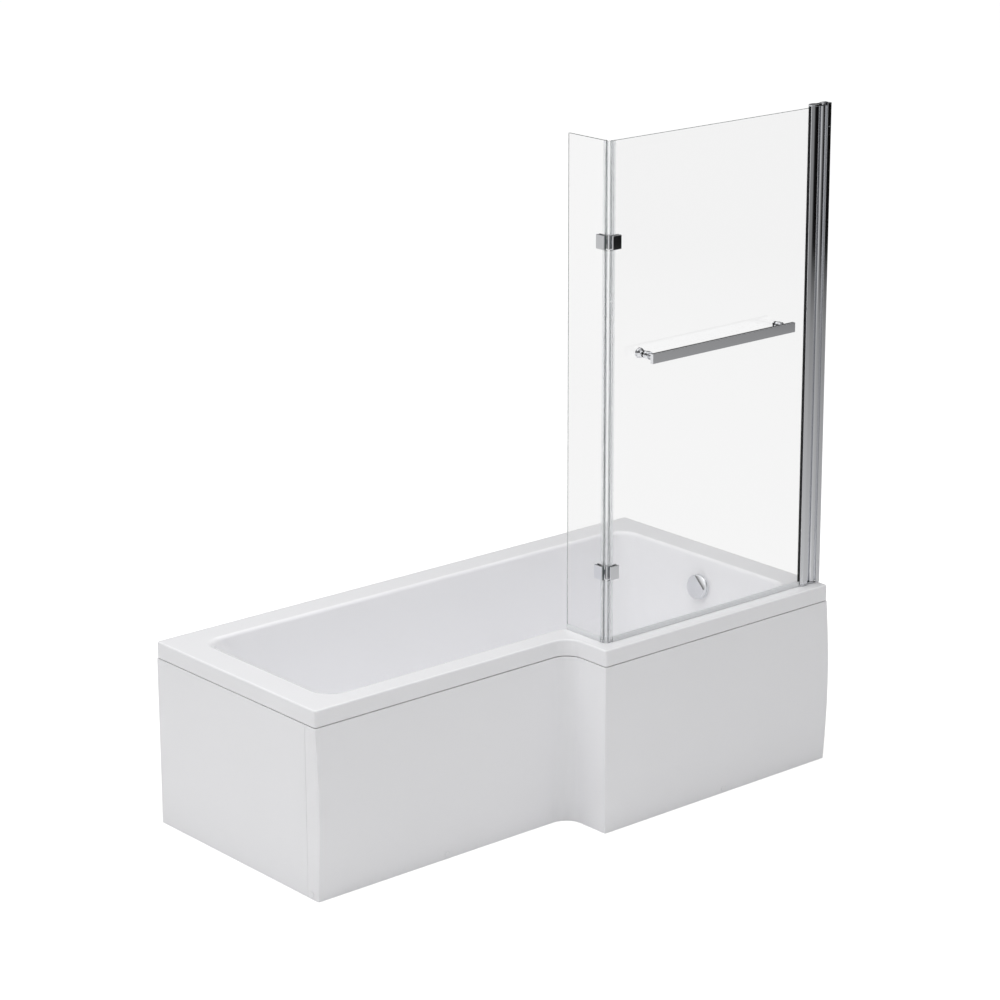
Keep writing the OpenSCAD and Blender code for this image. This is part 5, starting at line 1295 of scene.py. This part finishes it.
class SHOWERBATH_OT_studio(bpy.types.Operator):
    """Make the floor, the world, the grey card that the metal reflects, the lamps and the camera"""

    bl_idname = "shower_bath.studio"
    bl_label = "Studio"

    def execute(self, context):
        scene, studio = context.scene, context.scene.shower_bath_studio
        finishes = scene.shower_bath_finishes
        u = np.linspace(-FLOOR_REACH, FLOOR_REACH, FLOOR_POINTS)
        grid = np.stack(np.broadcast_arrays(u[:, None], u[None, :], FLOOR_DROP), -1).reshape(-1, 3)
        cells = quads(FLOOR_POINTS, FLOOR_POINTS, close_columns=False).tolist()
        floor = stage_object("studio_floor", grid, cells, floor_paper(finishes))

        scene.world = bpy.data.worlds.new("Studio")
        studio_sky(scene.world)

        card = stage_object("studio_card", *lathe(CARD_SECTION, (0, 0, 0), steps=96), grey_card(finishes))
        card.visible_camera = card.visible_diffuse = card.visible_transmission = card.visible_shadow = False

        for name, spot, aim, size, power in LAMPS:
            lamp = bpy.data.lights.new(name, "AREA")
            lamp.shape, lamp.size, lamp.energy = "SQUARE", size, power
            stand = bpy.data.objects.new(name, lamp)
            scene.collection.objects.link(stand)
            stand.location = spot
            stand.visible_glossy = False
            x, y, z = np.array(aim) - np.array(spot)
            stand.rotation_euler = (math.atan2(math.hypot(x, y), -z), 0, math.atan2(y, x) - math.pi / 2)

        camera = bpy.data.objects.new("Camera", bpy.data.cameras.new("Camera"))
        scene.collection.objects.link(camera)
        spot = np.array([studio.camera_x, studio.camera_y, studio.camera_z]) * 1000
        camera.location = in_place(spot).tolist()
        camera.rotation_euler = (math.pi / 2 - studio.tilt, 0, -studio.turn)
        camera.data.sensor_width = 36
        camera.data.lens = studio.focal
        camera.data.shift_x, camera.data.shift_y = studio.shift_x, studio.shift_y
        camera.data.clip_start, camera.data.clip_end = 0.1, 200
        scene.camera = camera
        scene.view_settings.view_transform = "Standard"
        return {"FINISHED"}


class SHOWERBATH_PT_panel(bpy.types.Panel):
    """Lists the sizes and the pieces in the sidebar."""

    bl_idname = "SHOWERBATH_PT_panel"
    bl_label = "Shower bath"
    bl_space_type = "VIEW_3D"
    bl_region_type = "UI"
    bl_category = "Shower bath"

    def draw(self, context):
        for group in GROUPS:
            box = self.layout.box()
            owner = getattr(context.scene, group)
            for name in owner.__annotations__:
                box.prop(owner, name)
        for operator in OPERATORS:
            self.layout.operator(operator.bl_idname)


OPERATORS = (
    SHOWERBATH_OT_shell,
    SHOWERBATH_OT_panels,
    SHOWERBATH_OT_overflow,
    SHOWERBATH_OT_waste,
    SHOWERBATH_OT_profiles,
    SHOWERBATH_OT_panes,
    SHOWERBATH_OT_seals,
    SHOWERBATH_OT_hinges,
    SHOWERBATH_OT_rail,
    SHOWERBATH_OT_feet,
    SHOWERBATH_OT_underneath,
    SHOWERBATH_OT_studio,
)
GROUPS = {
    "shower_bath_sizes": ShowerBathSizes,
    "shower_screen_sizes": ShowerScreenSizes,
    "shower_waste_sizes": ShowerWasteSizes,
    "shower_bath_finishes": ShowerBathFinishes,
    "shower_bath_studio": ShowerBathStudio,
}


def register():
    """Adds the add-on's classes and its property groups."""
    for kind in (*GROUPS.values(), *OPERATORS, SHOWERBATH_PT_panel):
        bpy.utils.register_class(kind)
    for name, kind in GROUPS.items():
        setattr(bpy.types.Scene, name, PointerProperty(type=kind))


def unregister():
    """Takes the property groups and the classes out again."""
    for name in GROUPS:
        delattr(bpy.types.Scene, name)
    for kind in reversed((*GROUPS.values(), *OPERATORS, SHOWERBATH_PT_panel)):
        bpy.utils.unregister_class(kind)


def main():
    """Makes every piece in order."""
    register()
    bpy.ops.shower_bath.shell()
    bpy.ops.shower_bath.panels()
    bpy.ops.shower_bath.overflow()
    bpy.ops.shower_bath.waste()
    bpy.ops.shower_bath.profiles()
    bpy.ops.shower_bath.panes()
    bpy.ops.shower_bath.seals()
    bpy.ops.shower_bath.hinges()
    bpy.ops.shower_bath.rail()
    bpy.ops.shower_bath.feet()
    bpy.ops.shower_bath.underneath()
    bpy.ops.shower_bath.studio()
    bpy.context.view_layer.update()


if __name__ == "__main__":
    main()
